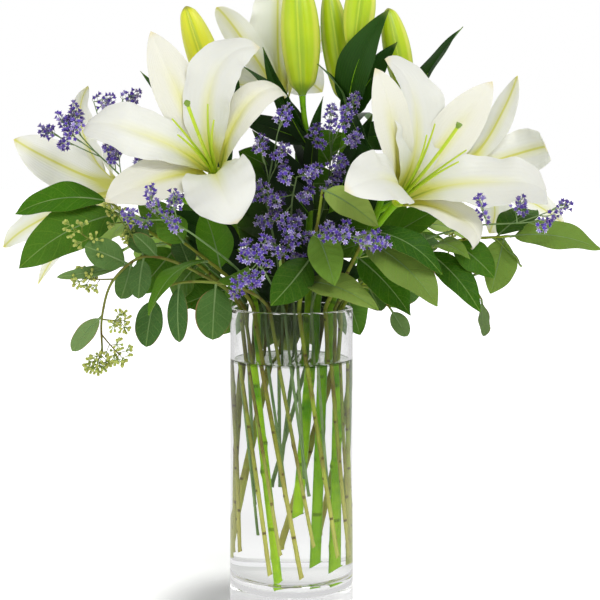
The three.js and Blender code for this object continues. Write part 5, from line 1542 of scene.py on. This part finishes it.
lavenderSprays = {
    "far_left": dict(
        rim=(-38, 4),
        foot=60,
        rich=1.7,
        way=[(-74, 4, 280), (-112, 0, 318), (-140, -8, 350), (-160, -16, 370)],
        twigs=[
            head(1, (-178, -24, 384), (-190, -30, 402)),
            head(1, (-176, -20, 388), (-177, -22, 412)),
            head(0.95, (-192, -24, 384), (-204, -28, 388), 11),
            head(0.8, (-143, -18, 376), (-148, -20, 388), 11),
            head(0.75, (-140, -22, 364), (-146, -24, 372), 10),
            head(0.7, (-124, -20, 362), (-118, -22, 370), 10),
            head(0.85, (-164, 0, 412), (-146, 0, 416), 12),
            head(0.85, (-140, 0, 414), (-124, 0, 420), 12),
        ],
    ),
    "left": dict(
        rim=(-22, -20),
        foot=88,
        way=[(-42, -52, 276), (-72, -90, 304), (-92, -108, 318)],
        twigs=[
            head(1, (-112, -116, 318), (-126, -120, 322)),
            head(1, (-102, -114, 328), (-106, -116, 338), 12),
            head(0.9, (-88, -112, 326), (-88, -114, 342), 12),
            head(0.8, (-84, -108, 312), (-92, -112, 318), 11),
        ],
    ),
    "centre": dict(
        rim=(-8, 4),
        foot=96,
        way=[(-12, -18, 285), (-19, -41, 334), (-12, -42, 380)],
        twigs=[
            head(1, (-8, -54, 391), (-4, -57, 404)),
            head(0.75, (-24, -46, 370), (-26, -48, 384)),
            head(0.75, (-8, -48, 366), (-6, -50, 376), 11),
            head(0.6, (-26, -46, 344), (-35, -49, 341), 12),
            head(0.5, (-12, -30, 322), (-9, -34, 336), 12),
        ],
    ),
    "middle": dict(
        rim=(2, -14),
        foot=104,
        way=[(2, -30, 285), (0, -48, 325), (4, -56, 350)],
        twigs=[
            head(1, (8, -60, 350), (20, -64, 356), 14),
            head(0.9, (-4, -60, 346), (-6, -64, 358), 13),
            head(0.8, (8, -58, 330), (15, -62, 340), 12),
            head(0.8, (-14, -60, 334), (-24, -66, 340), 14),
            head(0.7, (-12, -62, 316), (-22, -70, 314), 14),
            head(0.6, (-4, -66, 290), (-14, -74, 292), 13),
            head(0.65, (-2, -66, 304), (4, -74, 302), 13),
            head(0.6, (2, -56, 308), (7, -60, 320), 12),
            head(0.4, (4, -46, 276), (6, -48, 286), 11),
        ],
    ),
    "front_left": dict(
        rim=(-6, -30),
        foot=92,
        way=[(-18, -62, 270), (-28, -92, 288)],
        twigs=[
            head(1, (-34, -98, 286), (-34, -104, 298)),
            head(1, (-26, -98, 290), (-22, -104, 298), 12),
            head(0.9, (-38, -96, 274), (-42, -102, 264)),
            head(0.85, (-28, -96, 272), (-24, -104, 276), 12),
        ],
    ),
    "front_right": dict(
        rim=(16, -26),
        foot=84,
        way=[(26, -46, 272), (38, -64, 298), (41, -96, 306)],
        twigs=[
            head(1, (50, -106, 304), (58, -110, 304), 12),
            head(1, (58, -108, 298), (70, -112, 300), 12),
            head(0.9, (34, -102, 306), (42, -106, 310), 12),
            head(0.85, (20, -98, 304), (28, -104, 310), 12),
        ],
    ),
    "top": dict(
        rim=(5, 20),
        foot=110,
        way=[(12, 24, 285), (28, 16, 330), (34, -22, 385)],
        twigs=[
            head(1, (46, -34, 402), (54, -38, 418), 14),
            head(0.95, (40, -38, 392), (46, -40, 402), 12),
            head(0.85, (18, -26, 380), (20, -30, 390), 13),
            head(0.9, (30, -34, 396), (33, -38, 407), 12),
            head(0.9, (46, -34, 376), (54, -38, 384), 12),
            head(0.75, (32, -38, 356), (43, -44, 366), 14),
            head(0.7, (26, -36, 338), (35, -42, 346), 13),
        ],
    ),
    "right": dict(
        rim=(43, 0),
        foot=76,
        way=[(92, -12, 290), (140, -34, 309), (176, -66, 314)],
        twigs=[
            head(1, (172, -80, 324), (179, -84, 332), 10),
            head(1, (205, -72, 325), (218, -72, 328), 9),
            head(0.8, (146, -92, 322), (142, -98, 332), 10),
            head(1, (190, -72, 316), (200, -74, 312), 9),
        ],
    ),
    "back_right": dict(
        rim=(16, 38),
        foot=90,
        way=[(30, 72, 300), (44, 104, 340), (50, 120, 366)],
        twigs=[
            head(1, (54, 128, 372), (58, 134, 386)),
            head(1, (44, 130, 368), (40, 138, 376)),
            head(0.9, (64, 122, 354), (74, 130, 360)),
            head(0.8, (34, 120, 338), (28, 132, 342)),
            head(0.7, (56, 112, 322), (66, 122, 324)),
        ],
    ),
    "back_left": dict(
        rim=(-26, 14),
        foot=82,
        way=[(-48, 50, 292), (-74, 90, 330), (-86, 110, 352)],
        twigs=[
            head(1, (-90, 118, 360), (-94, 124, 374)),
            head(1, (-98, 116, 352), (-108, 122, 356)),
            head(0.9, (-78, 116, 342), (-74, 128, 346)),
            head(0.8, (-96, 104, 328), (-108, 112, 330)),
        ],
    ),
}


def makeFloretPaint():
    paint = Paint("lavenderFloret", Roughness=0.7, Subsurface_Weight=0.1, Subsurface_Scale=0.001)
    along, chance = paint.mark("along"), paint.mark("seed")
    tone = paint.mark("side")
    violet = paint.blend(floretTints["dark"], floretTints["light"], tone)
    violet = paint.blend(violet, floretTints["faded"], chance * 0.4)
    violet = paint.blend(violet, floretTints["cloud"], paint.between(paint.noise(90, 1), 0.4, 0.7) * 0.5)
    pale = paint.between(chance, 0.62, 0.8)
    shade = paint.blend(floretTints["foot"], violet, paint.between(along, 0.2, 0.45))
    rim = paint.between(along, 0.76, 0.96) * (0.22 + 0.34 * tone + 0.4 * pale)
    shade = paint.blend(shade, floretTints["rim"], rim + pale * tone * 0.3)
    # painted shade where little light comes
    paint.use("Base Color", paint.blend(shade, paintedShadeTints["floret"], paint.paintedShade() * 0.7))
    paint.bump(paint.noise(900, 2), 0.3, 0.2)
    return paint


# One floret of unit size: a cone, then five lobes round a hollow. Each part has its radius, its
# height and its mark along.
floretParts = dict(neck=(0.34, 0.5, 0.4), notch=(0.52, 0.84, 0.8), lobe=(1, 1, 1), hollow=(0, 0.66, 0.55))


def floretShape(lobes=5):
    points, marks = [(0, 0, 0)], [0.0]

    def corner(part, angle):
        radius, high, along = floretParts[part]
        points.append((radius * math.cos(angle), radius * math.sin(angle), high))
        marks.append(along)

    for i in range(lobes):
        corner("neck", 2 * math.pi * i / lobes)
    for i in range(2 * lobes):
        corner("lobe" if i % 2 else "notch", math.pi * i / lobes)
    corner("hollow", 0)
    faces = []
    outer, last = 1 + lobes, 1 + 3 * lobes
    for i in range(lobes):
        j = (i + 1) % lobes
        faces.append((0, 1 + j, 1 + i))
        faces.append((1 + i, 1 + j, outer + 2 * j, outer + 2 * i + 1, outer + 2 * i))
    for i in range(2 * lobes):
        faces.append((last, outer + i, outer + (i + 1) % (2 * lobes)))
    return np.array(points), faces, np.array(marks)


floretPoints, floretFaces, floretMarks = floretShape()


def putFloret(growth, root, way, size, tone, chance):
    across = spun(squareTo(way, (0.31, 0.52, 0.8)), way, chance.uniform(0, fullTurn))
    wide, long = floret["radius"] * size, floret["length"] * size
    axes = np.array([across * wide, np.cross(way, across) * wide, way * long])
    growth.add(root + floretPoints @ axes, floretFaces, along=floretMarks, side=tone, seed=chance.random())


# A head: florets round its core, at the end of a twig from base. Two smaller heads fork off the
# twig, at the rings that forks names, one on each side.
def makeHead(growth, base, one, chance, rich, forked=True):
    start, end = np.array(one["start"], float), np.array(one["end"], float)
    half = one["width"] / 2
    axis = end - start
    way = unit(axis)
    sway = headMake["sway"]
    aside = squareTo(start - base, (0.2, 0.9, 0.3)) * chance.uniform(-sway, sway)
    rings, sides, thin = headMake["rings"], headMake["sides"], headMake["twigTip"]
    twig = quadratic(base, (base + start) / 2 + aside, start, rings)
    rod(growth, twig, np.linspace(headMake["twig"], thin, rings), sides, 1, 0.5)
    rod(growth, [start, start + axis * headMake["core"]], [thin, headMake["coreTip"]], sides, 1, 0.5)
    across = squareTo(way, (0.3, 0.5, 0.8))
    count = round(headMake["florets"] * rich * one["width"] / headMake["width"])
    tone = 0.2 + 0.8 * chance.random()
    for i in range(count):
        t = (i + 0.5) / count
        out = spun(across, way, math.radians(goldenTurn * i))
        lean = (0.35 + 0.75 * (1 - t)) * chance.uniform(0.8, 1.2)
        depth = half * (1 - 0.35 * t) * chance.uniform(0.25, 0.75)
        share = t * headMake["filled"]
        root = start + axis * share + out * depth - way * floret["sink"]
        root[1] = max(root[1], floret["front"])
        rod(growth, [start + axis * max(0, share - headMake["branch"]), root], floret["stalk"], 3, 1, 0.5)
        putFloret(growth, root, unit(way + out * lean), chance.uniform(*floret["sizes"]), tone, chance)
    if not forked:
        return
    for sign, ring in headMake["forks"]:
        fork = twig[ring]
        angle = sign * math.radians(chance.uniform(*headMake["angles"]))
        turn = spun(way, squareTo(way, (0.1, 1.0, 0.2)), angle)
        if fork[1] < headMake["turnBack"]:
            turn = unit(np.array([turn[0], abs(turn[1]), turn[2]]))
        begin = fork + turn * chance.uniform(*headMake["gap"]) + unit(start - base) * 3
        reach = one["width"] * chance.uniform(*headMake["length"])
        small = head(0, begin, begin + turn * reach, one["width"] * headMake["smaller"])
        makeHead(growth, fork, small, chance, rich, False)


def makeSpray(name, spray, paints, crease=30):
    chance = random.Random("lavender" + name)
    growth = Growth()
    stemRod(growth, spray, stemKinds["lavender"], chance, 1)
    for one in spray["twigs"]:
        makeHead(growth, upper(spray, one["at"])[0], one, chance, spray.get("rich", 1))
    growth.piece("seaLavender_" + name, "sea_lavender_" + name, paints, crease)


sprayPaints = [makeFloretPaint(), greyStalkPaint]
for name, spray in lavenderSprays.items():
    makeSpray(name, spray, sprayPaints)
print("sea lavender made")
